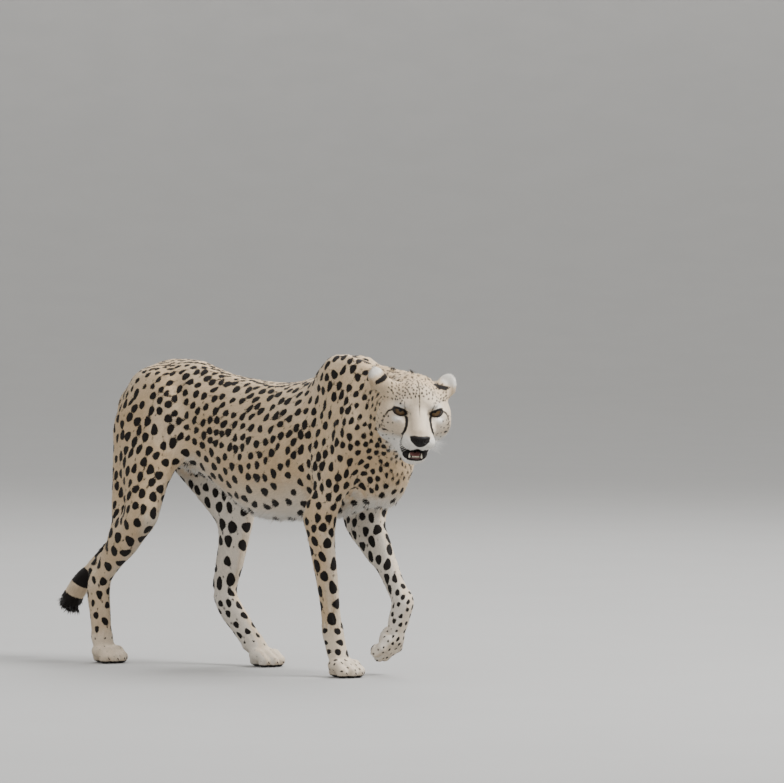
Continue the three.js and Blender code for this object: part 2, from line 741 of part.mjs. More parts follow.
const neckFlesh = (grow = 0) =>
  fleshIn(nape, [580, -210, 440], [930, 120, 750], [24, 22, 22], new THREE.Matrix4(), grow);

function addTrunk() {
  const thighs = both(thighPlanes);
  const shoulders = both(shoulderPlanes);
  const hips = fleshIn(hind, [-190, -130, 360], [150, 130, 760], [31, 23, 26]);
  addNode("hips", trim(without(hips, thighs), [opposite(loinCut), opposite(tailCuts[0])]));
  const loin = fleshIn(hind, [50, -130, 320], [320, 130, 760], [33, 25, 28]);
  addNode("loin", trim(without(loin, thighs), [loinCut, opposite(chestCut)]));
  const chest = fleshIn(fore, [205, -140, 310], [750, 140, 780], [36, 26, 28]);
  addNode("chest", trim(without(chest, shoulders), [chestCut, opposite(neckCut), breastFlat]));
  const neckSolid = withLocks(neckFlesh(), crest());
  addNode("neck", trim(without(neckSolid, shoulders), [neckCut, opposite(skullCut)]));
}

function addTail() {
  const beside = both((s) => [...thighPlanes(s), plane([-120, 0, 0], [1, 0, 0])]);
  const base = fleshIn(rump, [-180, -40, 470], [-60, 70, 670], [16, 16, 24]);
  addNode("tail_base", trim(without(base, beside), [tailCuts[0], tailCuts[1]]));
  const middle = fleshIn(tail, [-230, 0, 240], [-120, 80, 540], [14, 14, 30]);
  addNode("tail_middle", trim(middle, [opposite(tailCuts[1]), tailCuts[2]]));
  const end = fleshIn(tail, [-330, -50, 100], [-150, 80, 310], [14, 14, 18]);
  addNode("tail_tip", trim(withLocks(end, brush()), [opposite(tailCuts[2])]));
}

// a frame with its z up the limb and its y near the model's own
function limbFrame(top, bottom) {
  const up = new THREE.Vector3(...sub(top, bottom)).normalize();
  const ahead = new THREE.Vector3(0, 1, 0).cross(up).normalize();
  return new THREE.Matrix4().makeBasis(ahead, up.clone().cross(ahead), up).setPosition(...bottom);
}

function limbPiece(field, top, bottom, half, ends, cell) {
  const low = [-half[0], -half[1], -ends];
  const high = [half[0], half[1], distance(top, bottom) + ends];
  return fleshIn(field, low, high, cell, limbFrame(top, bottom));
}

// a box that reaches from near the middle of the body out to one side
const sideBox = (s, [x0, z0], [x1, z1], inner, outer) => {
  const reach = [inner * sides[s], outer * sides[s]];
  return [[x0, Math.min(...reach), z0], [x1, Math.max(...reach), z1]];
};

function addHind(s) {
  const leg = fleshParts[s + "_hind"];
  const place = pawPlaces[s + "_hind"];
  const ankle = limbCut(hock[s], hindBall[s], 0.02);
  const toeCut = limbCut(hock[s], hindBall[s], 0.76);
  const thigh = fleshIn(haunch, ...sideBox(s, [-170, 270], [260, 760], -30, 190), [29, 23, 29]);
  addNode("thigh_" + s, trim(thigh, [...thighPlanes(s), kneeCut(s)]));
  const shank = limbPiece(leg, knee[s], hock[s], [110, 80], 110, [18, 15, 27]);
  addNode("shank_" + s, trim(shank, [opposite(kneeCut(s)), ankle]));
  const metatarsus = limbPiece(leg, hock[s], hindBall[s], [80, 60], 70, [14.5, 13, 27]);
  addNode("metatarsus_" + s, trim(metatarsus, [opposite(ankle), toeCut]));
  addNode("hind_paw_" + s, withClaws(trim(pawPiece(leg, place, 66), [opposite(toeCut), ground]), place));
}

function addFore(s) {
  const leg = fleshParts[s + "_fore"];
  const place = pawPlaces[s + "_fore"];
  const elbowCut = limbCut(elbow[s], wrist[s], 0.14);
  const wristCut = limbCut(elbow[s], wrist[s], 0.97);
  const upper = fleshIn(fore, ...sideBox(s, [440, 250], [760, 780], -20, 160), [31, 24, 31]);
  addNode("shoulder_" + s, trim(upper, [...shoulderPlanes(s), elbowCut]));
  const lower = limbPiece(leg, elbow[s], wrist[s], [80, 60], 90, [15, 14, 27]);
  addNode("forearm_" + s, trim(lower, [opposite(elbowCut), wristCut]));
  const standing = s === "right";
  const lifted = () => fleshIn(leg, [585, -24, 14], [770, 90, 240], [12.2, 12.2, 13]);
  const piece = standing ? pawPiece(leg, place, 110) : lifted();
  const cuts = standing ? [opposite(wristCut), ground] : [opposite(wristCut)];
  addNode("fore_paw_" + s, withClaws(trim(piece, cuts), place));
}

function pawPiece(field, place, top) {
  return fleshIn(field, [-60, -50, -44], [80, 50, top], [12.2, 12.2, 12.2], placed(place));
}

function withClaws(solid, place) {
  const cone = new THREE.ConeGeometry(2.8, 14, 5);
  return toes.reduce((all, t) => {
    const tip = new THREE.Matrix4().makeTranslation(t.reach + 9, t.side * 1.05, -toeDroop - 3);
    const lean = new THREE.Matrix4().makeRotationZ(radians(-112));
    return all.add(solidOf(cone, placed(place).multiply(tip).multiply(lean)));
  }, solid);
}

// pieces of the head, made in its own frame
const inHead = (m) => headFrame.clone().multiply(m);
const shifted = (p) => new THREE.Matrix4().makeTranslation(...p);
const eyeAt = (y) => [eye.at[0], y * eye.at[1], eye.at[2]];

function ball(at, radii, around = 20, down = 14, turn = new THREE.Matrix4()) {
  const m = shifted(at).multiply(turn).scale(new THREE.Vector3(...radii));
  return solidOf(new THREE.SphereGeometry(1, around, down), inHead(m));
}

// a flat outline pushed through the head
function prism(outline, matrix, depth) {
  const shape = new THREE.Shape(outline.map(([u, v]) => new THREE.Vector2(u, v)));
  return solidOf(new THREE.ExtrudeGeometry(shape, { depth, bevelEnabled: false }), inHead(matrix));
}

const facing = new THREE.Matrix4().makeBasis( // outlines in y and z
  new THREE.Vector3(0, 1, 0), new THREE.Vector3(0, 0, 1), new THREE.Vector3(1, 0, 0));
const sideways = new THREE.Matrix4().makeBasis( // outlines in x and z
  new THREE.Vector3(1, 0, 0), new THREE.Vector3(0, 0, 1), new THREE.Vector3(0, -1, 0));

function eyeOpening(y) {
  const outline = Array.from({ length: 16 }, (_, i) => {
    const a = (i / 16) * 2 * Math.PI;
    const u = lids.half * Math.cos(a);
    const lid = Math.sin(a) > 0 ? lids.upper : lids.lower;
    return [y * u, lid * Math.sin(a) + u * Math.tan(radians(lids.tilt))];
  });
  if (y < 0) outline.reverse();
  const dir = new THREE.Vector3(Math.cos(radians(lids.out)), y * Math.sin(radians(lids.out)), 0);
  const up = new THREE.Vector3(0, 0, 1);
  const m = new THREE.Matrix4().makeBasis(up.clone().cross(dir), up, dir);
  return prism(outline, m.setPosition(...eyeAt(y)), 60);
}

const noseShape = (grow) => [
  [-21 - grow, -40], [-15, -36.5 + grow], [15, -36.5 + grow], [21 + grow, -40],
  [18 + grow, -48], [6 + grow, -60 - grow], [-6 - grow, -60 - grow], [-18 - grow, -48]];
const noseBack = 52;

function addNose() {
  const field = together(5, headField, egg([61, 0, -47], [14, 20, 13]));
  const box = [[44, -34, -74], [90, 34, -26]];
  const front = fleshIn((p) => field(headPoint(p)), ...box, [6.8, 6.8, 6.8], headFrame);
  const block = prism(noseShape(0), shifted([noseBack, 0, 0]).multiply(facing), 60);
  const nostrils = [-1, 1].map((y) => ball([74, y * 11.5, -47], [11, 5, 3.6], 8, 6));
  addNode("nose", nostrils.reduce((s, h) => s.subtract(h), front.intersect(block)), "nose");
}

// the mouth from the side: along the upper lip from the corner to the front, and back along the lower lip
const mouthShape = [
  [8, -61], [22, -67.5], [36, -73], [52, -74], [92, -71],
  [92, -93], [56, -91], [44, -89], [32, -83], [20, -72]];
const jawY = (z) => -jawLean * Math.max(0, -z - 60);
const teethAt = [49, jawY(-90), -90];
const tongueAt = [24, jawY(-88), -88];

function fang(side, grow) {
  const upright = new THREE.Matrix4().makeRotationX(Math.PI / 2);
  const m = shifted(add(teethAt, [0, side, 5])).multiply(upright);
  return solidOf(new THREE.ConeGeometry(3 + grow, 14 + grow * 2, 6), inHead(m));
}

function teeth(grow) {
  const row = ball(add(teethAt, [-1, 0, 0]), [5 + grow, 13 + grow, 5.5 + grow], 10, 6);
  return row.add(fang(-12, grow)).add(fang(12, grow));
}

const tongue = (grow) => ball(tongueAt, [30 + grow, 15 + grow, 6 + grow], 10, 6);

// the outside of an ear, and the hollow that makes a cup of it
function earShapes(side) {
  const mirror = ([a, b, c]) => [a, sides[side] * b, c];
  const open = unit(mirror(earDisc.out));
  const raised = mirror(earDisc.up);
  const up = unit(add(raised, open, -dot(raised, open)));
  const turn = new THREE.Matrix4().makeBasis(
    new THREE.Vector3(...open), new THREE.Vector3(...cross(up, open)), new THREE.Vector3(...up));
  const at = mirror(earDisc.at[side]);
  const root = mirror(earRoot);
  const disc = through(turn.clone().setPosition(...at), (p) => ovalDistance(...p, ...earDisc.radii));
  const stalk = rod(root, lerp(root, at, 0.75), [19, 16], [10, 20]);
  const hollow = earDisc.radii.map((r, i) => (i ? r - earDisc.wall : r));
  const cup = ball(add(at, open, earDisc.radii[0] * 0.85), hollow, 14, 10, turn);
  return { outside: together(10, disc, stalk), cup };
}

function ear(side) {
  const { outside, cup } = earShapes(side);
  const box = sideBox(side, [-112, 8], [-30, 94], 38, 126);
  return fleshIn((p) => outside(headPoint(p)), ...box, [9.8, 9.8, 9.8], headFrame).subtract(cup);
}

function addHead() {
  const low = [-130, -108, -128];
  const high = [98, 108, 88];
  const cell = [11.9, 11.9, 11.9];
  const hollows = [
    ...[-1, 1].map((y) => eyeOpening(y)),
    ...[-1, 1].map((y) => ball(eyeAt(y), [eye.r + gap, eye.r + gap, eye.r + gap], 14, 9)),
    teeth(gap),
    tongue(gap),
    prism(mouthShape, shifted([0, 60, 0]).multiply(sideways), 120),
    prism(noseShape(gap), shifted([noseBack - gap, 0, 0]).multiply(facing), 60),
  ];
  const skull = trim(fleshIn(nape, low, high, cell, headFrame), [skullCut]);
  addNode("head", hollows.reduce((s, c) => s.subtract(c), skull));
  addNose();
  addNode("teeth", teeth(0), "tooth");
  addNode("tongue", tongue(0).subtract(teeth(gap)), "tongue");
  const around = fleshIn(nape, low, high, cell, headFrame, gap).add(neckFlesh(gap));
  for (const side of Object.keys(sides)) {
    addNode("eye_" + side, ball(eyeAt(sides[side]), [eye.r, eye.r, eye.r], 14, 9), "eye");
    addNode("ear_" + side, ear(side).subtract(around));
  }
}

addTrunk();
addHead();
addTail();
for (const side of Object.keys(sides)) {
  addHind(side);
  addFore(side);
}

// the origin goes to the middle of the footprint, on the ground
const extent = new THREE.Box3().setFromObject(model);
const centre = extent.getCenter(new THREE.Vector3());
model.position.set(-centre.x, -centre.y, -extent.min.z);

export default model;
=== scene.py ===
import json
import math

import bmesh
import bpy
import numpy as np
from mathutils import Matrix, Vector
from mathutils.kdtree import KDTree


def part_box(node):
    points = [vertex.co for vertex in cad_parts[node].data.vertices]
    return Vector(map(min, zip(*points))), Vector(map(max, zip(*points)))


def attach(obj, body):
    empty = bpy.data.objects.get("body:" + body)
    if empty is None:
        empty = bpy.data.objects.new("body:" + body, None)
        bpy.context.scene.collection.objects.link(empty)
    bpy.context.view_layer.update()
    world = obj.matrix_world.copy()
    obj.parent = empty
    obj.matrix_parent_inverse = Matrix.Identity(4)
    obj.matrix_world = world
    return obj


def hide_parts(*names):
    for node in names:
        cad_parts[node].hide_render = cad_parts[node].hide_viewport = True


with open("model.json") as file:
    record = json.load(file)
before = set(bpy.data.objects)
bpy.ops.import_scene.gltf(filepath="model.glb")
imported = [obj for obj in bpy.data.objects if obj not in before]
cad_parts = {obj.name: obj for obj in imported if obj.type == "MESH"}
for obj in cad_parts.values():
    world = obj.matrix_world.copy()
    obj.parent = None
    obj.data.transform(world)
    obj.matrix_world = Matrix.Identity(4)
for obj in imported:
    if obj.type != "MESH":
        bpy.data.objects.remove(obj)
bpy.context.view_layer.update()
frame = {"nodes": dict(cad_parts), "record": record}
scene = bpy.context.scene
draw = np.random.default_rng(7)
bothSides = ("right", "left")

# Everything that follows the body is placed in metres from the point under the hips, x ahead, y left, z up.
# The head has its own axes, x to the nose, y left, z up, and its measures are in millimetres.
headPose = {"yaw": -43.0, "pitch": 14.5, "roll": -2.6, "at": (0.889, -0.140, 0.610),
            "eyes": (-0.006, 0.0, -0.001)}


def turned(yaw, pitch, roll):
    angles = ((yaw, "Z"), (pitch, "Y"), (roll, "X"))
    spin = [Matrix.Rotation(math.radians(angle), 3, axis) for angle, axis in angles]
    return spin[0] @ spin[1] @ spin[2]


headTurn = turned(headPose["yaw"], headPose["pitch"], headPose["roll"])
eyeCentres = {side: (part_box("eye_" + side)[0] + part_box("eye_" + side)[1]) / 2 for side in bothSides}
headAt = (eyeCentres["right"] + eyeCentres["left"]) / 2 - headTurn @ Vector(headPose["eyes"])
bodyAt = headAt - Vector(headPose["at"])


def inFrame(points, turn, at):
    # points of the row, in millimetres along the axes of a part
    return (np.asarray(points) - np.array(at)) @ np.array(turn) * 1000


def outOfFrame(points, turn, at):
    return np.asarray(points) / 1000 @ np.array(turn).T + np.array(at)


def inHead(points):
    return inFrame(points, headTurn, headAt)


def outOfHead(points):
    return outOfFrame(points, headTurn, headAt)


def onBody(*place):
    return Vector(place) + bodyAt


def inBody(points):
    return points - np.array(bodyAt)


def leftward(side):
    return 1 if side == "left" else -1


# camera
cameraForm = {"at": (9.9959, -11.0837, 1.0560), "yaw": 40.0, "down": 1.6116, "lens": 292.96}


def makeCamera():
    data = bpy.data.cameras.new("camera")
    data.lens = cameraForm["lens"]
    data.sensor_width = 36.0
    data.clip_end = 200.0
    camera = bpy.data.objects.new("camera", data)
    camera.location = onBody(*cameraForm["at"])
    camera.rotation_euler = (math.radians(90 - cameraForm["down"]), 0, math.radians(cameraForm["yaw"]))
    scene.collection.objects.link(camera)
    scene.camera = camera


makeCamera()


# smooth fields: negative inside, about a distance outside, in millimetres
def ovalDistance(x, y, z, rx, ry, rz):
    near = np.sqrt((x / rx) ** 2 + (y / ry) ** 2 + (z / rz) ** 2)
    steep = np.sqrt((x / rx**2) ** 2 + (y / ry**2) ** 2 + (z / rz**2) ** 2)
    return near * (near - 1) / np.maximum(steep, 1e-9)


def egg(at, radii):
    return lambda p: ovalDistance(*(p - np.array(at)).T, *radii)


def rod(a, b, start, end):
    # an oval rod; start and end hold its half sizes up and sideways
    a, b = np.array(a, float), np.array(b, float)
    length = np.linalg.norm(b - a)
    run = (b - a) / length
    across = np.array((0, 1, 0)) - run * run[1]
    across /= np.linalg.norm(across)

    def field(p):
        t = np.clip((p - a) @ run / length, 0, 1)
        off = p - a - (t * length)[:, None] * run
        side = off @ across
        rest = np.sqrt(np.maximum((off**2).sum(1) - side**2, 0))
        up, out = (start[i] + (end[i] - start[i]) * t for i in (0, 1))
        return ovalDistance(rest, side, 0, up, out, 1)

    return field


def melt(a, b, k):
    h = np.maximum(k - np.abs(a - b), 0) / k
    return np.minimum(a, b) - h * h * k / 4


def carve(a, b, k):
    return -melt(-a, b, k)


def together(k, fields):
    def field(p):
        total = fields[0](p)
        for other in fields[1:]:
            total = melt(total, other(p), k)
        return total

    return field


def rodDistance(p, start, end):
    a, b = np.array(start[:3], float), np.array(end[:3], float)
    t = np.clip((p - a) @ (b - a) / max((b - a) @ (b - a), 1e-6), 0, 1)
    off = np.linalg.norm(p - a - t[:, None] * (b - a), axis=1)
    return off - (start[3] + (end[3] - start[3]) * t)


def slope(field, p, h=0.4):
    steps = [np.array([h if i == j else 0 for j in range(3)]) for i in range(3)]
    g = np.stack([field(p + s) - field(p - s) for s in steps], 1) / (2 * h)
    return g / np.maximum(np.linalg.norm(g, axis=1), 1e-6)[:, None]


def drawOn(p, field, level, turns, reach):
    # moves points on to the surface where the field has that level
    for _ in range(turns):
        g = slope(field, p)
        p = p - np.clip(field(p) - level, -reach, reach)[:, None] * g
    return p


def ease(value, low, high):
    t = np.clip((value - low) / (high - low), 0, 1)
    return t * t * (3 - 2 * t)


def bell(*terms):
    # 1 at the middle and less away from it; each term is a value, its middle and its half width
    return np.exp(-sum(((value - middle) / half) ** 2 for value, middle, half in terms))


# head
eyeForm = {"at": (-6.0, 39.0, -1.0), "radius": 16.5, "half": 15.0, "upper": 8.5, "lower": 6.0, "out": 20.0,
           "tilt": 9.0}
earForm = {"right": (-74, 91, 57), "left": (-70, 70, 45), "open": (-0.66, 0.68, -0.2),
           "up": (-0.3, 0.6, 0.74), "radii": (11, 23.5, 24), "wall": 5, "hollow": 0.85, "root": (-58, 56, 26),
           "stalk": (0.75, (19, 16), (10, 20)), "reach": 34}
jawForm = {"lean": 0.16, "below": 60}  # the jaw leans to the right, the more the lower
softness = {"flesh": 14, "socket": 12, "lid": 6, "mouth": 4, "stalk": 10, "ear": 8, "cup": 2}

headFlesh = together(softness["flesh"], [
    egg((-52, 0, 8), (60, 57, 50)),
    egg((-21, 0, 20), (34, 40, 31)),
    egg((-60, 46, 14), (34, 27, 30)),
    egg((-62, 58, 34), (17, 15, 17)),
    egg((-6, 27, 17), (20, 18, 9)),
    rod((-4, 0, 4), (56, 0, -32), (19, 21), (13, 17)),
    rod((4, 0, -34), (44, 0, -50), (26, 37), (21, 27)),
    egg((46, 18, -56), (25, 19, 17)),
    rod((18, 26, -34), (-30, 48, -28), (13, 12), (36, 28)),
    egg((-62, 48, -38), (38, 36, 46)),
    rod((8, 44, -17), (-40, 60, -12), (11, 9), (20, 14)),
    egg((-94, 0, -6), (44, 56, 60)),
    rod((-46, 34, -68), (26, 14, -90), (22, 18), (17, 15)),
    egg((37, 0, -96), (20, 22, 15)),
    egg((60, 0, -47), (13, 17, 11)),
])
eyeSocket = egg((8, 42, 0), (11, 17, 9))
lidBall = egg(eyeForm["at"], (19.5, 19.5, 18.5))

# the mouth from the side: how far ahead, and the heights of its edges; the upper lips hang a little
mouthForm = {"ahead": (8, 22, 36, 52, 92), "top": (-61, -68.5, -75, -76, -73),
             "bottom": (-62, -74, -86, -92, -94), "hang": 5.0, "hangAt": 15.0, "hangHalf": 8.0,
             "hangFrom": (26, 50), "notch": 2.0, "notchHalf": 4.5}


def mouthEdges(p):
    side = np.abs(p[:, 1])
    hang = mouthForm["hang"] * bell((side, mouthForm["hangAt"], mouthForm["hangHalf"]))
    hang = hang * ease(p[:, 0], *mouthForm["hangFrom"])
    notch = mouthForm["notch"] * bell((side, 0, mouthForm["notchHalf"]))
    top = np.interp(p[:, 0], mouthForm["ahead"], mouthForm["top"]) - hang + notch
    return top, np.interp(p[:, 0], mouthForm["ahead"], mouthForm["bottom"])


def mouthGap(p):
    top, bottom = mouthEdges(p)
    return np.maximum(np.maximum(p[:, 2] - top, bottom - p[:, 2]), mouthForm["ahead"][0] - p[:, 0])


def jawLean(z):
    return jawForm["lean"] * np.maximum(0, -z - jawForm["below"])


def mirrored(p):
    return np.stack([p[:, 0], np.abs(p[:, 1] + jawLean(p[:, 2])), p[:, 2]], 1)


def earAxes(side):
    mirror = np.array((1, leftward(side), 1))
    opening = np.array(earForm["open"]) * mirror
    opening /= np.linalg.norm(opening)
    up = np.array(earForm["up"]) * mirror
    up -= opening * (up @ opening)
    up /= np.linalg.norm(up)
    return np.stack([opening, np.cross(up, opening), up], 1), np.array(earForm[side]) * mirror, mirror


def earField(side):
    axes, at, mirror = earAxes(side)
    radii = earForm["radii"]
    root = np.array(earForm["root"]) * mirror
    part, thick, thin = earForm["stalk"]
    stalk = rod(root, root + (at - root) * part, thick, thin)
    hollow = at + axes[:, 0] * radii[0] * earForm["hollow"]
    inner = (radii[0], radii[1] - earForm["wall"], radii[2] - earForm["wall"])

    def field(p):
        disc = ovalDistance(*((p - at) @ axes).T, *radii)
        cup = ovalDistance(*((p - hollow) @ axes).T, *inner)
        return melt(disc, stalk(p), softness["stalk"]), cup

    return field


earFields = [earField(side) for side in bothSides]


def headField(p):
    q = mirrored(p)
    total = carve(headFlesh(q), eyeSocket(q), softness["socket"])
    total = melt(total, lidBall(q), softness["lid"])
    total = carve(total, mouthGap(q), softness["mouth"])
    for field in earFields:
        outside, cup = field(p)
        total = carve(melt(total, outside, softness["ear"]), cup, softness["cup"])
    return total


noseForm = {
    "outline": [(-23, -39.5), (-15, -36.5), (15, -36.5), (23, -39.5), (21.5, -47), (14, -55), (7, -61),
                (0, -64), (-7, -61), (-14, -55), (-21.5, -47)],
    "grid": {"across": 64, "up": 44, "wide": 47, "tall": 29, "middle": -50},
    "front": 88.0, "back": 54.0, "dark": 0.4, "darkFrom": 52,
    "raise": 1.6, "raiseOver": 3, "sunk": 0.9, "thick": 2.5,
    "swell": ((61, 0, -48), (13.5, 20.5, 14)),
    "nostril": [((74, 11.5, -47), (11, 5, 3.6)), ((69, 16.5, -44.5), (9, 4.5, 2.0))],
    "slit": ((77, 0, -50), (72, 0, -64), 1.2),
    "soft": {"swell": 5, "nostril": 2.5, "slit": 1.5},
}


def insideOutline(y, z, outline):
    inside = np.zeros(len(y), bool)
    for (y0, z0), (y1, z1) in zip(outline, outline[1:] + outline[:1]):
        crosses = (z0 > z) != (z1 > z)
        inside ^= crosses & (y < (y1 - y0) * (z - z0) / (z1 - z0 + 1e-9) + y0)
    return inside


def outlineDistance(y, z, outline):
    # how far inside the outline a point is, in millimetres
    best = np.full(len(y), 1e3)
    for (y0, z0), (y1, z1) in zip(outline, outline[1:] + outline[:1]):
        run = np.array((y1 - y0, z1 - z0))
        t = np.clip(((y - y0) * run[0] + (z - z0) * run[1]) / (run @ run), 0, 1)
        best = np.minimum(best, np.hypot(y - y0 - t * run[0], z - z0 - t * run[1]))
    return np.where(insideOutline(y, z, outline), best, -best)


# paws
pawForm = {
    "toes": [(-27, 38, 12.5), (-10, 50, 13), (10, 50, 13), (27, 38, 12.5)],  # aside, ahead, half width
    "depth": 30, "droop": 15, "sole": 6, "middle": (22, 0, -12), "reach": (56, 72), "ankle": (0, 26),
    "hind_right": {"at": (-0.130, -0.070, 0.030), "turn": (-4, 0, 0), "length": 1.0},
    "hind_left": {"at": (0.234, 0.072, 0.030), "turn": (2, 0, 0), "length": 1.0},
    "fore_right": {"at": (0.602, -0.074, 0.030), "turn": (-3, 0, 0), "length": 1.1},
    "fore_left": {"at": (0.672, 0.034, 0.083), "turn": (2, 112, 0), "length": 1.1},
}
pawNames = ("hind_right", "hind_left", "fore_right", "fore_left")


def pawField(length):
    depth, droop = pawForm["depth"], pawForm["droop"]
    toes = []
    for side, reach, radius in pawForm["toes"]:
        half = reach * 0.55
        toes.append(together(5, [
            rod((0, side * 0.7, -2), (half, side, -4), (15, 13), (12.5, radius)),
            rod((half, side, -4), (reach, side * 1.05, -droop), (12.5, radius), (11, radius - 1.5)),
            egg((reach - 4, side, -depth + 9.5), (14, radius - 1.5, 11.5))]))
    heel = together(8, [egg((2, 0, -depth + 12), (24 * length, 25, 14.5)), egg((4, 0, -6), (22, 30, 18))])
    return together(3, [heel] + toes)


# skin
skinForm = {"overlap": 0.0006, "voxel": 0.0026, "settle": 55, "soften": 3, "bodyRatio": 0.2, "coat": 0.0035,
            "longest": 0.01, "faces": 188000, "least": 0.00002, "floor": 0.0003}
# where the finer head is blended in, and the part of it with the finest faces
headRoom = {"middle": (-20, 0, -15), "reach": (125, 150), "neck": (-98, -62)}
faceRoom = {"low": (-22, -62, -118), "high": (110, 62, 30)}
coatNodes = [part["node"] for part in frame["record"]["subparts"] if part["material_slot"] == "coat"]


def linked(name, mesh):
    piece = bpy.data.objects.new(name, mesh)
    scene.collection.objects.link(piece)
    return piece


def finished(piece):
    # the piece with its modifiers made real
    mesh = bpy.data.meshes.new_from_object(piece.evaluated_get(bpy.context.evaluated_depsgraph_get()))
    old = piece.data
    piece.modifiers.clear()
    piece.data = mesh
    bpy.data.meshes.remove(old)
    return piece


def coordinates(mesh):
    flat = np.empty(len(mesh.vertices) * 3, np.float32)
    mesh.vertices.foreach_get("co", flat)
    return flat.reshape(-1, 3).astype(float)


def putCoordinates(mesh, points):
    mesh.vertices.foreach_set("co", np.asarray(points, np.float32).ravel())
    mesh.update()


def normals(mesh):
    flat = np.empty(len(mesh.vertices) * 3, np.float32)
    mesh.vertex_normals.foreach_get("vector", flat)
    return flat.reshape(-1, 3).astype(float)


def joinedFlesh():
    whole = bmesh.new()
    for name in coatNodes + ["nose", "eye_right", "eye_left"]:
        part = bmesh.new()
        part.from_mesh(frame["nodes"][name].data)
        bmesh.ops.remove_doubles(part, verts=part.verts, dist=1e-6)
        part.normal_update()
        for vertex in part.verts:
            vertex.co += vertex.normal * skinForm["overlap"]
        mesh = bpy.data.meshes.new("part")
        part.to_mesh(mesh)
        part.free()
        whole.from_mesh(mesh)
        bpy.data.meshes.remove(mesh)
    mesh = bpy.data.meshes.new("skin")
    whole.to_mesh(mesh)
    whole.free()
    return mesh


def headShare(points):
    # 1 on the head, 0 behind it
    p = inHead(points)
    near = 1 - ease(np.linalg.norm(p - np.array(headRoom["middle"]), axis=1), *headRoom["reach"])
    return ease(p[:, 0], *headRoom["neck"]) * near


def pawPlace(name):
    return turned(*pawForm[name]["turn"]), onBody(*pawForm[name]["at"])


def pawPoints(points, name):
    # the points along the paw's axes, and how far each is from the paw's middle
    p = inFrame(points, *pawPlace(name))
    return p, np.linalg.norm(p - np.array(pawForm["middle"]), axis=1)


def pawShare(points, name):
    p, far = pawPoints(points, name)
    return (1 - ease(far, *pawForm["reach"])) * (1 - ease(p[:, 2], *pawForm["ankle"]))


def edited(mesh, change):
    # the mesh after a change to its points, edges and faces
    build = bmesh.new()
    build.from_mesh(mesh)
    change(build)
    build.to_mesh(mesh)
    build.free()


def keepLargest(build):
    left = set(build.verts)
    best = []
    while left:
        seed = left.pop()
        island, stack = [seed], [seed]
        while stack:
            for edge in stack.pop().link_edges:
                for vertex in edge.verts:
                    if vertex in left:
                        left.discard(vertex)
                        island.append(vertex)
                        stack.append(vertex)
        if len(island) > len(best):
            best = island
    keep = set(best)
    loose = [v for v in build.verts if v not in keep]
    bmesh.ops.delete(build, geom=loose, context="VERTS")


def cutInTriangles(build, most=3):
    bmesh.ops.triangulate(build, faces=[f for f in build.faces if len(f.verts) > most])


def refineFace(build):
    # cuts the faces of the face in four
    p = inHead(np.array([f.calc_center_median() for f in build.faces]))
    picked = ((p > faceRoom["low"]) & (p < faceRoom["high"])).all(1)
    edges = {e for f, yes in zip(build.faces, picked) if yes for e in f.edges}
    bmesh.ops.subdivide_edges(build, edges=list(edges), cuts=1, use_grid_fill=True)
    cutInTriangles(build, 4)


def evenOut(build, turns=2):
    # splits the long edges that the lightening leaves in flat places
    for _ in range(turns):
        long = [e for e in build.edges if e.calc_length() > skinForm["longest"]]
        bmesh.ops.subdivide_edges(build, edges=long, cuts=1)
        cutInTriangles(build)


def dropThin(build):
    # no faces without area
    bmesh.ops.dissolve_degenerate(build, edges=build.edges, dist=skinForm["least"])
    cutInTriangles(build)


def makeSkin():
    skin = linked("skin", joinedFlesh())
    remesh = skin.modifiers.new("remesh", "REMESH")
    remesh.mode = "VOXEL"
    remesh.voxel_size = skinForm["voxel"]
    finished(skin)
    edited(skin.data, keepLargest)
    points = coordinates(skin.data)
    fine = headShare(points)
    for name in pawNames:
        fine = np.maximum(fine, pawShare(points, name))
    group = skin.vertex_groups.new(name="body")
    for index, share in enumerate(fine):
        group.add([index], float(1 - share), "REPLACE")
    smooth = skin.modifiers.new("smooth", "SMOOTH")
    smooth.factor, smooth.iterations, smooth.vertex_group = 0.5, skinForm["settle"], "body"
    soften = skin.modifiers.new("soften", "SMOOTH")
    soften.factor, soften.iterations = 0.5, skinForm["soften"]
    lighten = skin.modifiers.new("lighten", "DECIMATE")
    lighten.ratio, lighten.vertex_group = skinForm["bodyRatio"], "body"
    finished(skin)
    print("skin", len(skin.data.vertices), "points before the face is refined")
    edited(skin.data, evenOut)
    edited(skin.data, refineFace)
    thin = skin.modifiers.new("thin", "DECIMATE")
    thin.ratio = min(1.0, skinForm["faces"] / len(skin.data.polygons))
    finished(skin)
    edited(skin.data, dropThin)
    skin.data.validate()
    return skin


skin = makeSkin()
print("skin", len(skin.data.vertices), "points", len(skin.data.polygons), "faces")


# the skin is drawn on to the finer head and paws
def lidAxes(side):
    y = leftward(side)
    turn = math.radians(eyeForm["out"])
    ahead = np.array((math.cos(turn), y * math.sin(turn), 0))
    up = np.array((0.0, 0, 1))
    return np.stack([np.cross(up, ahead) * y, up, ahead], 1), np.array(eyeForm["at"]) * (1, y, 1)


def lidEdge(angle):
    # the rim of the eye's opening, in millimetres outwards and up, counted from the outer corner
    across = eyeForm["half"] * np.cos(angle)
    rise = np.where(np.sin(angle) > 0, eyeForm["upper"], eyeForm["lower"]) * np.sin(angle)
    return across, rise + across * math.tan(math.radians(eyeForm["tilt"]))


def lidDistance(q):
    # how far outside the opening a point is, seen from the front of the eye
    u = q[:, 0]
    v = q[:, 1] - u * math.tan(math.radians(eyeForm["tilt"]))
    tall = np.where(v > 0, eyeForm["upper"], eyeForm["lower"])
    return ovalDistance(u, v, 0, eyeForm["half"], tall, 1)


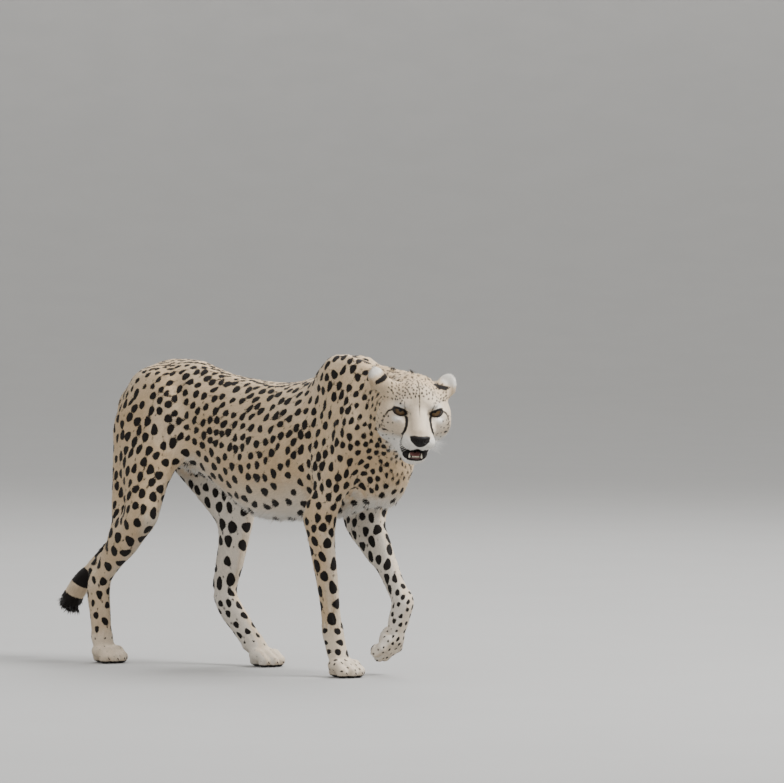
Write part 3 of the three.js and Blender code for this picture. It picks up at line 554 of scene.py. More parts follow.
lidForm = {"rim": 17.4, "slope": 5.0, "ball": 19.3, "sunk": 13.0, "fold": 6.5, "foldHalf": 1.6,
           "foldDepth": 0.9, "foldAbove": -2, "snap": 0.9, "lip": 0.05, "inside": -0.25, "reach": 27,
           "fade": (2.5, 3), "bare": 1.2, "near": 26, "darkAbove": 4.0, "darkBelow": 1.7}


def roundEyes(p):
    # the points along the axes of each eye, and which of them lie round it
    for side in bothSides:
        axes, place = lidAxes(side)
        r = (p - place) @ axes
        yield r, (r[:, 2] > 0) & (np.linalg.norm(r, axis=1) < lidForm["near"])


def roundEars(p):
    # the points along the axes of each ear, and how far they are from its middle
    for side in bothSides:
        axes, place, _ = earAxes(side)
        q = (p - place) @ axes
        yield q, np.linalg.norm(q, axis=1)


def shapeLids(p):
    for side in bothSides:
        axes, at = lidAxes(side)
        q = (p - at) @ axes
        near = (np.linalg.norm(q, axis=1) < lidForm["reach"]) & (q[:, 2] > 0)
        out = lidDistance(q)
        edge = near & (np.abs(out) < lidForm["snap"])
        pull = q[:, :2] / np.maximum(np.linalg.norm(q[:, :2], axis=1), 1e-6)[:, None]
        q[edge, :2] -= pull[edge] * (out[edge] - lidForm["lip"])[:, None]
        out = lidDistance(q)
        radius = lidForm["rim"] + (lidForm["ball"] - lidForm["rim"]) * ease(out, 0, lidForm["slope"])
        fold = bell((out, lidForm["fold"], lidForm["foldHalf"])) * (q[:, 1] > lidForm["foldAbove"])
        fold = fold * lidForm["foldDepth"]
        size = np.linalg.norm(q, axis=1)
        inside = out < lidForm["inside"]
        aimed = np.where(inside, lidForm["sunk"], radius - fold)
        start, end = lidForm["slope"] - lidForm["fade"][0], lidForm["slope"] + lidForm["fade"][1]
        share = np.where(inside, 1, 1 - ease(out, start, end))
        scale = 1 + (aimed / np.maximum(size, 1e-6) - 1) * share
        q = np.where(near[:, None], q * scale[:, None], q)
        p = np.where(near[:, None], q @ axes.T + at, p)
    return p


def shapeHead(points):
    share = headShare(points)
    chosen = np.nonzero(share > 0)[0]
    p = inHead(points[chosen])
    drawn = shapeLids(drawOn(p, headField, 0, turns=7, reach=3))
    points[chosen] = outOfHead(p + (drawn - p) * share[chosen][:, None])
    return points


def shapePaws(points):
    for name in pawNames:
        turn, at = pawPlace(name)
        share = pawShare(points, name)
        chosen = np.nonzero(share > 0)[0]
        p = inFrame(points[chosen], turn, at)
        drawn = drawOn(p, pawField(pawForm[name]["length"]), 0, turns=5, reach=3)
        points[chosen] = outOfFrame(p + (drawn - p) * share[chosen][:, None], turn, at)
    return points


# what each part gives its coat: hair in mm, tufts on a square centimetre, spots' half length and half width,
# the least distance between spots, and the ways in which hair and spots run over the body
partForm = {
    "hips": {"hair": 10, "thick": 20, "spot": (9.4, 6.7), "apart": 16.8,
             "flow": (-0.75, 0, -0.65), "run": (0.35, 0, 0.94)},
    "loin": {"hair": 10, "thick": 20, "spot": (10.2, 8.0), "apart": 18.2,
             "flow": (-0.92, 0, -0.35), "run": (0.45, 0, 0.9)},
    "chest": {"hair": 11, "thick": 20, "spot": (10.6, 8.4), "apart": 19.6,
              "flow": (-0.9, 0, -0.4), "run": (0.4, 0, 0.92)},
    "neck": {"hair": 12, "thick": 24, "spot": (7.4, 6.0), "apart": 16.2,
             "flow": (-0.85, 0.35, -0.4), "run": (0.3, -0.2, 0.9)},
    "head": {"hair": 6, "thick": 42, "spot": (3.2, 2.3), "apart": 6.3,
             "flow": (-1, 0, 0), "run": (-1, 0, 0)},
    "ear": {"hair": 7, "thick": 42, "spot": (1.5, 1.2), "apart": 12, "flow": (0, 0, 1), "run": (0, 0, 1)},
    "tail_base": {"hair": 14, "thick": 26, "spot": (9, 7.5), "apart": 20},
    "tail_middle": {"hair": 16, "thick": 26, "spot": (11, 9), "apart": 27},
    "tail_tip": {"hair": 20, "thick": 30, "spot": (9, 8), "apart": 26},
    "thigh": {"hair": 9.5, "thick": 21, "spot": (11.6, 9.4), "apart": 21,
              "flow": (-0.3, 0, -0.95), "run": (0.2, 0, 0.97)},
    "shank": {"hair": 8, "thick": 25, "spot": (14.2, 10.6), "apart": 29},
    "metatarsus": {"hair": 7, "thick": 30, "spot": (10.0, 7.2), "apart": 21},
    "hind_paw": {"hair": 5, "thick": 40, "spot": (3.6, 2.8), "apart": 18,
                 "flow": (0.9, 0, -0.4), "run": (1, 0, 0)},
    "shoulder": {"hair": 9.5, "thick": 21, "spot": (10.6, 8.4), "apart": 20.2,
                 "flow": (-0.25, 0, -0.95), "run": (0.1, 0, 1)},
    "forearm": {"hair": 8, "thick": 26, "spot": (13.6, 10.0), "apart": 24.5},
    "fore_paw": {"hair": 5, "thick": 40, "spot": (9.0, 7.0), "apart": 19.5,
                 "flow": (0.9, 0, -0.4), "run": (1, 0, 0)},
}
chains = [("tail_base", "tail_middle", "tail_tip")]
chains += [("thigh_" + s, "shank_" + s, "metatarsus_" + s, "hind_paw_" + s) for s in bothSides]
chains += [("shoulder_" + s, "forearm_" + s, "fore_paw_" + s) for s in bothSides]


def treeOf(places):
    tree = KDTree(len(places))
    for index, place in enumerate(places):
        tree.insert(place, index)
    tree.balance()
    return tree


def kindOf(node):
    return node[: -len(node.split("_")[-1]) - 1] if node.endswith(("_right", "_left")) else node


def middleOf(node):
    low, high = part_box(node)
    return np.array((low + high) / 2)


def unit(v):
    v = np.asarray(v, float)
    return v / np.maximum(np.linalg.norm(v, axis=-1), 1e-9)[..., None]


def flowsAndRuns():
    # the ways of hair and spots on each node; on legs and tail they follow the limb
    flow = {node: partForm[kindOf(node)].get("flow") for node in coatNodes}
    run = {node: partForm[kindOf(node)].get("run") for node in coatNodes}
    for chain in chains:
        for above, below in zip(chain, chain[1:]):
            limb = unit(middleOf(below) - middleOf(above))
            flow[above] = flow[above] or tuple(limb)
            run[above] = run[above] or tuple(limb)
        if chain[-1] == "tail_tip":
            flow[chain[-1]] = run[chain[-1]] = tuple(unit(middleOf(chain[-1]) - middleOf(chain[-2])))
    lifted = turned(*pawForm["fore_left"]["turn"]) @ Vector(partForm["fore_paw"]["flow"])
    flow["fore_paw_left"] = run["fore_paw_left"] = tuple(lifted)
    for side in bothSides:
        flow["ear_" + side] = run["ear_" + side] = tuple(headTurn @ Vector(earAxes(side)[0][:, 2]))
    return unit([flow[n] for n in coatNodes]), unit([run[n] for n in coatNodes])


nodeFlow, nodeRun = flowsAndRuns()
nodePoints = [coordinates(frame["nodes"][node].data) for node in coatNodes]
nodeOf = np.repeat(np.arange(len(coatNodes)), [len(places) for places in nodePoints])
nodeTree = treeOf(np.concatenate(nodePoints))


def nodeShares(points, near=10, soft=0.004):
    # how much of each node is round each point
    shares = np.zeros((len(points), len(coatNodes)))
    for row, point in enumerate(points):
        for _, index, distance in nodeTree.find_n(point, near):
            shares[row, nodeOf[index]] += 1 / (distance + soft) ** 2
    return shares / shares.sum(1)[:, None]


def fromParts(shares, key, place=None):
    table = [partForm[kindOf(n)][key] for n in coatNodes]
    return shares @ np.array([t if place is None else t[place] for t in table], float)


def shareOf(shares, *kinds):
    return shares[:, [i for i, n in enumerate(coatNodes) if kindOf(n) in kinds]].sum(1)


def tangent(way, normal):
    return unit(way - normal * (way * normal).sum(1)[:, None])


faceFlow = {"from": (84, 0, -44), "lean": (-0.2, 0, -0.1)}


def flowOver(points, normal, shares):
    # the lie of the coat: back over the face from the nose, along the body, and down the legs
    p = inHead(points)
    away = unit(p - np.array(faceFlow["from"])) + np.array(faceFlow["lean"])
    away = unit(away) @ np.array(headTurn).T
    onHead = shareOf(shares, "head")[:, None]
    way = (shares @ nodeFlow) * (1 - onHead) + away * onHead
    return tangent(way, normal)


# folds and muscles: lines over the body and their half width in metres, and how far they stand out or lie in,
# in millimetres
muscles = {
    "behindShoulder": {"line": [(0.545, -0.1, 0.611), (0.522, -0.105, 0.522), (0.521, -0.1, 0.392)],
                       "wide": 0.014, "out": -6.5, "both": True},
    "shoulderBlade": {"line": [(0.568, -0.06, 0.715), (0.582, -0.085, 0.629), (0.640, -0.105, 0.520)],
                      "wide": 0.02, "out": 4.0, "both": True},
    "neckBase": {"line": [(0.694, -0.1, 0.643), (0.688, -0.11, 0.553), (0.716, -0.09, 0.47)],
                 "wide": 0.018, "out": -6.0, "both": True},
    "underArm": {"line": [(0.716, -0.08, 0.46), (0.632, -0.09, 0.395)],
                 "wide": 0.016, "out": -7.0, "both": True},
    "hip": {"line": [(0.098, -0.075, 0.659), (0.123, -0.085, 0.607), (0.135, -0.085, 0.551)],
            "wide": 0.02, "out": -6.0, "both": True},
    "flank": {"line": [(0.176, -0.09, 0.497), (0.205, -0.065, 0.405), (0.262, -0.05, 0.362)],
              "wide": 0.015, "out": -5.0, "both": False},
    "hamstring": {"line": [(0.02, -0.12, 0.45), (-0.03, -0.11, 0.36), (-0.075, -0.1, 0.29)],
                  "wide": 0.012, "out": -4.0, "both": False},
    "hock": {"line": [(-0.101, -0.09, 0.29), (-0.146, -0.085, 0.22)],
             "wide": 0.009, "out": -5.5, "both": False},
    "forearm": {"line": [(0.572, -0.095, 0.29), (0.596, -0.09, 0.15)],
                "wide": 0.008, "out": -3.0, "both": False},
}
ribs = {"first": (0.47, -0.1, 0.56), "apart": -0.03, "count": 5, "slant": -0.045, "down": -0.14,
        "wide": 0.009, "out": -1.6}
for number in range(ribs["count"]):
    x, y, z = ribs["first"]
    x += number * ribs["apart"]
    muscles["rib" + str(number)] = {"line": [(x, y, z), (x + ribs["slant"], y, z + ribs["down"])],
                                    "wide": ribs["wide"], "out": ribs["out"], "both": True}
sculptStrength = 1.4


def sculpt(points, normal):
    moved = np.zeros(len(points))
    for form in muscles.values():
        for side in (1, -1) if form["both"] else (1,):
            line = [np.array(onBody(x, y * side, z)) for x, y, z in form["line"]]
            away = np.full(len(points), 1.0)
            for start, end in zip(line, line[1:]):
                away = np.minimum(away, rodDistance(points, (*start, 0), (*end, 0)))
            moved += sculptStrength * form["out"] / 1000 * bell((away, 0, form["wide"]))
    return points + normal * moved[:, None]


napeForm = {"low": 0.58, "share": 0.4, "round": 0.014, "most": 0.0006, "turns": 3}


def pressNape(points, normal):
    # presses the tips of the solid locks into the nape, where hair stands for them
    onNeck = shareOf(nodeShares(points), "neck") > napeForm["share"]
    chosen = np.nonzero(onNeck & (inBody(points)[:, 2] > napeForm["low"]))[0]
    for _ in range(napeForm["turns"]):
        tree = treeOf(points[chosen])
        pressed = points[chosen]
        for row, index in enumerate(chosen):
            near = chosen[[i for _, i, _ in tree.find_range(points[index], napeForm["round"])]]
            out = unit(normal[near].sum(0))
            over = (points[index] - points[near].mean(0)) @ out - napeForm["most"]
            pressed[row] -= out * max(over, 0)
        points[chosen] = pressed
    return points


skinNormals = normals(skin.data)
points = sculpt(pressNape(coordinates(skin.data), skinNormals), skinNormals)
points = shapePaws(shapeHead(points))
putCoordinates(skin.data, points)
skinNormals = normals(skin.data)
skinShares = nodeShares(points)
print("skin shaped")


# the skin lies under the solids by the depth of the coat, which is less on head, feet and ears
coatLess = {"head": 0.75, "feet": 0.8}


def coatDepth(points, shares):
    depth = skinForm["coat"] * (1 - coatLess["head"] * headShare(points))
    return depth * (1 - coatLess["feet"] * shareOf(shares, "hind_paw", "fore_paw", "ear"))


points = points - skinNormals * coatDepth(points, skinShares)[:, None]
points[:, 2] = np.maximum(points[:, 2], skinForm["floor"])
putCoordinates(skin.data, points)
skinNormals = normals(skin.data)


# markings and painted shade (mouth, brows): the distance in millimetres from a dark edge, less than 0 inside
# it
markForm = {"farthest": 9.0, "solesFarthest": 20.0, "candidates": 60000, "deep": 9, "depth": -9.0,
            "stretch": 1.25, "search": 0.0013, "small": (3.6, 3.0), "smallApart": 17.0, "smallClear": 5.0,
            "smallDepth": -0.9, "smallShare": 0.6, "smallSize": (0.6, 1.15), "uneven": (0.03, 0.13)}


def sampled(mesh, count, weights=None):
    # random places on a mesh: the face of each and its shares of the face's three corners
    mesh.calc_loop_triangles()
    corners = np.empty(len(mesh.loop_triangles) * 3, np.int32)
    mesh.loop_triangles.foreach_get("vertices", corners)
    corners = corners.reshape(-1, 3)
    p = coordinates(mesh)[corners]
    area = np.linalg.norm(np.cross(p[:, 1] - p[:, 0], p[:, 2] - p[:, 0]), axis=1) / 2
    if weights is not None:
        area = area * weights[corners].mean(1)
    steps = np.cumsum(area)
    faces = np.searchsorted(steps, (np.arange(count) + draw.random(count)) / count * steps[-1])
    faces = np.minimum(faces, len(corners) - 1)
    u, v = draw.random(count), draw.random(count)
    over = u + v > 1
    u[over], v[over] = 1 - u[over], 1 - v[over]
    return corners[faces], np.stack([1 - u - v, u, v], 1), steps[-1]


def valueAt(values, corners, parts):
    # a value of the skin's points at the sampled places
    if values.ndim == 1:
        return (values[corners] * parts).sum(1)
    return (values[corners] * parts[:, :, None]).sum(1)


def placesAt(corners, parts):
    # places on the skin, the way the skin faces there, and the parts round them
    normal = unit(valueAt(skinNormals, corners, parts))
    return valueAt(points, corners, parts), normal, valueAt(skinShares, corners, parts)


def scatter(places, apart, run):
    # keeps places that lie at least that far apart, a little farther along the run
    tree = treeOf(places)
    free = np.ones(len(places), bool)
    kept = []
    stretch = markForm["stretch"]
    for index in range(len(places)):
        if not free[index]:
            continue
        kept.append(index)
        reach = apart[index] * markForm["search"] * stretch
        near = np.array([i for _, i, _ in tree.find_range(places[index], reach)])
        off = places[near] - places[index]
        along = off @ run[index]
        far = np.sqrt(np.maximum((off**2).sum(1) - along**2, 0) + (along / stretch) ** 2) * 1000
        free[near[far < (apart[index] + apart[near]) / 2]] = False
    return np.array(kept)


# how spots change over the body: on the back, low on the trunk, before the shoulder and on the toes
spotForm = {
    "vary": (0.84, 1.16), "back": (0.6, 0.9), "low": (0.1, 0.55), "ahead": (0.62, 0.71),
    "long": (0.28, 0.12), "wide": (0.42, 0.25), "apart": (0.42, 0.48), "apartAhead": 0.28, "apartToes": 0.3,
    "apartCheek": 0.7, "smallerAhead": 0.32, "smallerToes": 0.62, "lean": 0.16, "backRun": (1, 0, 0.1),
    "faceFrom": (60, 0, 0), "edge": 0.35, "faceOnly": 0.6, "paleLess": 0.6, "paleAhead": 0.3, "sole": 9,
}


def spotCandidates(corners, parts):
    place, normal, shares = placesAt(corners, parts)
    head = inHead(place)
    onHead, trunk = shareOf(shares, "head", "ear"), shareOf(shares, "hips", "loin", "chest")
    cheek = (head[:, 0] < 8) & (head[:, 2] < -12) & (head[:, 2] > -75) & (np.abs(head[:, 1]) > 44)
    return {
        "place": place, "normal": normal, "shares": shares, "head": head, "onHead": onHead, "trunk": trunk,
        "back": ease(normal[:, 2], *spotForm["back"]) * trunk,
        "low": ease(-normal[:, 2], *spotForm["low"]) * trunk,
        "ahead": ease(inBody(place)[:, 0], *spotForm["ahead"]) * (1 - onHead),
        "cheek": cheek & (onHead > 0.5),
    }


def spotSizes(at):
    # half length and half width, and the least distance between spots
    sizes = []
    for number, key in enumerate(("long", "wide")):
        less, more = spotForm[key]
        size = fromParts(at["shares"], "spot", number) * (1 - less * at["back"] + more * at["low"])
        sizes.append(size * draw.uniform(*spotForm["vary"], len(size)))
    less, more = spotForm["apart"]
    apart = fromParts(at["shares"], "apart") * (1 - less * at["back"] + more * at["low"])
    apart = apart * (1 - spotForm["apartAhead"] * at["ahead"])
    toes = np.max([pawShare(at["place"], name) for name in pawNames], axis=0)
    smaller = (1 - spotForm["smallerAhead"] * at["ahead"]) * (1 - spotForm["smallerToes"] * toes)
    apart = apart * (1 - spotForm["apartToes"] * toes) * (1 + spotForm["apartCheek"] * at["cheek"])
    return sizes[0] * smaller, sizes[1] * smaller, apart


def spotRuns(at):
    # the way in which spots are long
    back, onHead = at["back"][:, None], at["onHead"][:, None]
    run = at["shares"] @ nodeRun
    run = run * (1 - back) + np.array(spotForm["backRun"]) * back
    faceRun = unit(at["head"] - np.array(spotForm["faceFrom"])) @ np.array(headTurn).T
    run = run * (1 - onHead) + faceRun * onHead + draw.normal(0, spotForm["lean"], run.shape)
    return tangent(run, at["normal"])


def spotKeep(at):
    # no spots on the tail's tip, the middle of the face and the soles, and fewer where the coat is pale
    head, onHead, shares, edge = at["head"], at["onHead"], at["shares"], spotForm["edge"]
    keep = shareOf(shares, "tail_tip") < edge
    crown = (head[:, 2] > 18) & (head[:, 0] < 6) | (head[:, 0] < -55) & (head[:, 2] > -30)
    keep &= (onHead < edge) | (shareOf(shares, "head") > spotForm["faceOnly"]) & (crown | at["cheek"])
    fewer = spotForm["paleLess"] - spotForm["paleAhead"] * at["ahead"]
    fewer = fewer * paleOver(at["place"], at["normal"], shares) * at["trunk"]
    keep &= (onHead > edge) | (draw.random(len(onHead)) > fewer)
    paws = shareOf(shares, "hind_paw", "fore_paw")
    return keep & ((paws < 0.5) | (soleDistance(at["place"]) > spotForm["sole"])), paws


def spotRows(at, run, chosen, long, wide, depth):
    return {"place": at["place"][chosen], "run": run[chosen], "normal": at["normal"][chosen], "long": long,
            "wide": wide, "depth": np.full(len(chosen), depth)}


def makeSpots(corners, parts):
    at = spotCandidates(corners, parts)
    place = at["place"]
    long, wide, apart = spotSizes(at)
    run = spotRuns(at)
    keep, paws = spotKeep(at)
    chosen = np.nonzero(keep)[0]
    large = chosen[scatter(place[chosen], apart[chosen], run[chosen])]
    spots = spotRows(at, run, large, long[large], wide[large], markForm["depth"])
    keep &= (spotDistance(place, spots) > markForm["smallClear"]) & (at["onHead"] < 0.3)
    chosen = np.nonzero(keep & (at["low"] < 0.4) & (paws < 0.3))[0]
    small = chosen[scatter(place[chosen], np.full(len(chosen), markForm["smallApart"]), run[chosen])]
    small = small[draw.random(len(small)) < markForm["smallShare"]]
    size = draw.uniform(*markForm["smallSize"], len(small))
    long, wide = (half * size for half in markForm["small"])
    extra = spotRows(at, run, small, long, wide, markForm["smallDepth"])
    joined = {key: np.concatenate([spots[key], extra[key]]) for key in spots}
    count = len(joined["place"])
    joined["turns"] = draw.uniform(0, 6.28, (count, 2))
    joined["uneven"] = draw.uniform(*markForm["uneven"], (count, 2))
    print("spots", len(large), "and", len(small), "small ones")
    return joined


def spotDistance(places, spots):
    distance = np.full(len(places), markForm["farthest"])
    tree = treeOf(places)
    across = np.cross(spots["normal"], spots["run"])
    for i, place in enumerate(spots["place"]):
        reach = (spots["long"][i] * 1.2 + markForm["farthest"]) / 1000
        near = np.array([j for _, j, _ in tree.find_range(place, reach)], int)
        if not len(near):
            continue
        off = (places[near] - place) * 1000
        u, v = off @ spots["run"][i], off @ across[i]
        deep = off @ spots["normal"][i]
        long, wide = spots["long"][i], spots["wide"][i]
        around = np.hypot(u / long, v / wide)
        if "turns" in spots:
            angle = np.arctan2(v / wide, u / long)
            turns, uneven = spots["turns"][i], spots["uneven"][i]
            waves = [uneven[k] * np.cos((k + 2) * angle + turns[k]) for k in (0, 1)]
            around = around / (1 + waves[0] + waves[1])
        gap = np.maximum((around - 1) * math.sqrt(long * wide), spots["depth"][i])
        gap = gap + np.maximum(np.abs(deep) - markForm["deep"], 0)
        distance[near] = np.minimum(distance[near], gap)
    return distance


# face marks and painted brow shade: places and half widths in the head's own millimetres, mirrored to the
# other side
faceMarksAndShade = {
    "tear": [(7, 28, -3, 3.4), (13, 27, -9, 3.6), (21, 27, -16, 3.6), (30, 28, -25, 3.8),
             (33.5, 31, -35, 3.9), (30, 33.5, -43, 3.9), (17, 34, -50, 3.8), (3, 33, -58, 3.6),
             (1, 34, -66, 3.3), (8, 35, -73, 3.3), (17, 35, -79, 3.4), (25, 33, -84, 3.4)],
    "outerCorner": [(-8, 57, 2, 3.0), (-14, 65, -4.5, 3.0), (-15.5, 69.5, -12, 2.6), (-18, 72.5, -20, 2.3)],
    "under": [(-21, 74, -27, 2.9), (-23, 74, -33, 2.6)],
    "cheekZero": [(-28, 76, -39, 3.0), (-30, 76, -43, 2.9)],
    "cheekOne": [(-20, 66, -49.5, 2.8), (-30, 73, -50, 3.0)],
    "cheekTwo": [(-38, 78, -46, 3.3), (-43, 78, -51, 3.0)],
    "cheekThree": [(-50, 80, -56, 2.2), (-57, 82, -66, 2.0)],
    # painted shade: a dark smudge going up from each eye's inner corner, where the brow's shadow falls
    "browShade": [(9, 31, 6, 1.8), (10, 32, 17, 1.3), (6, 33, 26, 0.8)],
    "inner": [(12, 26, 2, 1.4), (20, 24, -2, 0.8)],
    "middle": [(37, 0, -3, 0.6), (16, 0, 21, 1.5), (-1, 0, 46, 1.2), (-30, 0, 60, 1.3), (-60, 0, 62, 1.0)],
}
padRows = {"first": (68, 22, -50), "ahead": -8.5, "out": 4.0, "down": -5.5, "back": 2, "rows": 4, "each": 5,
           "radius": 0.75}


def onFace(marks):
    # the marks' places drawn on to the face
    places = drawOn(np.array([m[:3] for m in marks], float), headField, 0, turns=12, reach=4)
    return [(*place, markAndShade[3]) for place, markAndShade in zip(places, marks)]


def stepped(line, most=3.0):
    # the same line in short steps
    out = [line[0]]
    for start, end in zip(line, line[1:]):
        count = max(1, math.ceil(math.dist(start[:3], end[:3]) / most))
        out += [tuple(a + (b - a) * k / count for a, b in zip(start, end)) for k in range(1, count + 1)]
    return out


def faceLines():
    marks = list(faceMarksAndShade.values())
    for row in range(padRows["rows"]):
        x, y, z = padRows["first"]
        for step in range(padRows["each"] - row % 2):
            place = (x + step * padRows["ahead"] - row * padRows["back"], y + step * padRows["out"],
                     z + row * padRows["down"] - step)
            marks.append([(*place, padRows["radius"])] * 2)
    marks = [stepped(line) for line in marks]
    sides = [[(x, y * side, z, r) for x, y, z, r in line] for side in (1, -1) for line in marks]
    flat = onFace([markAndShade for line in sides for markAndShade in line])
    lines = []
    for line in sides:
        lines.append(flat[: len(line)])
        flat = flat[len(line):]
    return lines


faceLine = faceLines()


def faceMarkAndShadeDistance(places):
    p = inHead(places)
    distance = np.full(len(p), markForm["farthest"])
    near = np.nonzero(headShare(places) > 0.2)[0]
    if not len(near):
        return distance
    q = p[near]
    best = distance[near]
    for line in faceLine:
        for start, end in zip(line, line[1:]):
            best = np.minimum(best, rodDistance(q, start, end))
    best = np.minimum(best, lidMark(q))
    leather = -outlineDistance(q[:, 1], q[:, 2], noseForm["outline"]) - noseForm["dark"]
    best = np.where(q[:, 0] > noseForm["darkFrom"], np.minimum(best, leather), best)
    distance[near] = np.minimum(best, lipsAndMouthShade(q))
    return distance


def lidMark(q):
    # dark rims round the eyes
    best = np.full(len(q), markForm["farthest"])
    for r, near in roundEyes(q):
        rim = lidDistance(r) - np.where(r[:, 1] > 0, lidForm["darkAbove"], lidForm["darkBelow"])
        best = np.where(near, np.minimum(best, rim), best)
    return best


lipForm = {"lower": 6.0, "upper": 1.8, "from": 14, "half": 45, "bareFrom": 8, "bareGap": 1.0}


def lipsAndMouthShade(q):
    # dark lips, and painted shade inside the mouth, where the whole gap between the lips is given the lips'
    # near black
    p = mirrored(q)
    top, bottom = mouthEdges(p)
    # painted shade: inside the gap the value falls far below 0, so the mouth's inside comes out near black
    lip = mouthGap(p) - np.where(p[:, 2] < (top + bottom) / 2, lipForm["lower"], lipForm["upper"])
    near = (p[:, 0] > lipForm["from"]) & (np.abs(p[:, 1]) < lipForm["half"])
    return np.where(near, lip, markForm["farthest"])


earMark = {"low": -9.5, "high": 0.0, "half": 17.0, "slant": 0.22, "ahead": 3}
# rings and the dark tip of the tail: places along its end from 0 to 1, and half widths in millimetres
tipRings = ((0.1, 10), (0.27, 12), (0.45, 15), (0.67, 21), (0.93, 32))


def earDistance(places):
    # a dark band over the back of each ear
    distance = np.full(len(places), markForm["farthest"])
    for q, far in roundEars(inHead(places)):
        near = (far < earForm["reach"]) & (q[:, 0] < earMark["ahead"])
        height = q[:, 2] + q[:, 1] * earMark["slant"]
        band = np.maximum(earMark["low"] - height, height - earMark["high"])
        band = np.maximum(band, np.abs(q[:, 1]) - earMark["half"])
        distance = np.where(near, np.minimum(distance, band), distance)
    return distance


tailLine = [middleOf(node) for node in ("tail_base", "tail_middle", "tail_tip")]


def tailDistance(places, shares):
    # rings towards the end of the tail, and its dark tip
    low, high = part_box("tail_tip")
    top, end = tailLine[1], np.array((low[0], (low[1] + high[1]) / 2, low[2]))
    t = (places - top) @ (end - top) / ((end - top) @ (end - top))
    length = np.linalg.norm(end - top) * 1000
    rings = np.full(len(places), markForm["farthest"])
    for centre, half in tipRings:
        rings = np.minimum(rings, np.abs(t - centre) * length - half)
    return np.where(shareOf(shares, "tail_tip", "tail_middle") > 0.5, rings, markForm["farthest"])


def soleDistance(places):
    distance = np.full(len(places), markForm["solesFarthest"])
    for name in pawNames:
        p, far = pawPoints(places, name)
        sole = p[:, 2] + pawForm["depth"] - pawForm["sole"]
        distance = np.where(far < pawForm["reach"][1], np.minimum(distance, sole), distance)
    return distance


# dark markings, together with the painted shade inside the mouth and under the brows
def markAndShadeDistance(places, shares):
    distance = np.minimum(spotDistance(places, spots), faceMarkAndShadeDistance(places))
    distance = np.minimum(distance, earDistance(places))
    distance = np.minimum(distance, tailDistance(places, shares))
    return np.minimum(distance, soleDistance(places))


# how pale the coat is: 0 on the back, 1 on the belly, throat, chin and insides of the legs; shares of white,
# and the ranges in which they come up
paleForm = {
    "under": (0.3, 0.95), "inside": (0.1, 0.85), "insides": 0.75, "height": (0.42, 0.52), "metatarsus": 0.2,
    "paws": 0.35, "shins": 0.4, "chin": (48, 72), "muzzleX": (20, 50), "muzzleZ": (32, 54), "overEye": 0.7,
    "front": 0.3, "frontX": (-50, 0), "ear": 0.9, "earRim": (-2, 8),
}


def paleHead(p):
    aside = np.abs(p[:, 1])
    low = ease(-p[:, 2], *paleForm["chin"])
    muzzle = ease(p[:, 0], *paleForm["muzzleX"]) * ease(-p[:, 2], *paleForm["muzzleZ"])
    underEye = bell((p[:, 0], 8, 12), (aside, 46, 11), (p[:, 2], -15, 7))
    overEye = bell((aside, 36, 13), (p[:, 2], 13, 5)) * paleForm["overEye"]
    front = paleForm["front"] * ease(p[:, 0], *paleForm["frontX"])
    return np.clip(low + muzzle + underEye + overEye + front, 0, 1)


def paleOver(places, normal, shares):
    trunk = shareOf(shares, "hips", "loin", "chest", "neck")
    pale = trunk * ease(-normal[:, 2], *paleForm["under"])
    sides = np.zeros(len(places))
    for side in bothSides:
        own = [i for i, n in enumerate(coatNodes) if n.endswith(side) and not n.startswith("ear")]
        sides += shares[:, own].sum(1) * ease(normal[:, 1] * -leftward(side), *paleForm["inside"])
    inside = sides * paleForm["insides"] * (1 - ease(inBody(places)[:, 2], *paleForm["height"]))
    feet = paleForm["metatarsus"] * shareOf(shares, "metatarsus")
    feet = feet + paleForm["paws"] * shareOf(shares, "hind_paw", "fore_paw")
    shins = paleForm["shins"] * shareOf(shares, "shank", "forearm") * ease(normal[:, 0], 0, 0.9)
    p = inHead(places)
    for more in (inside, feet, shins, shareOf(shares, "head") * paleHead(p)):
        pale = np.maximum(pale, more)
    for q, far in roundEars(p):
        rim = ease(q[:, 2], *paleForm["earRim"]) * (far < earForm["reach"])
        pale = np.maximum(pale, rim * paleForm["ear"])
    return np.clip(pale, 0, 1)


spots = makeSpots(*sampled(skin.data, markForm["candidates"])[:2])
print("spots placed")


def addValues(mesh, name, values):
    layer = mesh.attributes.new(name, "FLOAT", "POINT")
    layer.data.foreach_set("value", np.asarray(values, np.float32))


skinMarksAndShade = markAndShadeDistance(points, skinShares)
skinPale = paleOver(points, skinNormals, skinShares)
addValues(skin.data, "markAndShade", skinMarksAndShade)
addValues(skin.data, "pale", skinPale)
addValues(skin.data, "shade", np.full(len(points), 0.5))
skin.data.shade_smooth()
print("skin marked")


# materials
coatLook = {"sand": (0.77, 0.605, 0.415), "back": (0.67, 0.495, 0.305), "white": (0.86, 0.82, 0.75),
            "dark": (0.012, 0.009, 0.008), "soft": 1.1, "ragged": 1.5}


def placed(piece, slot, *replaced):
    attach(piece, "root")
    if replaced:
        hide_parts(*replaced)


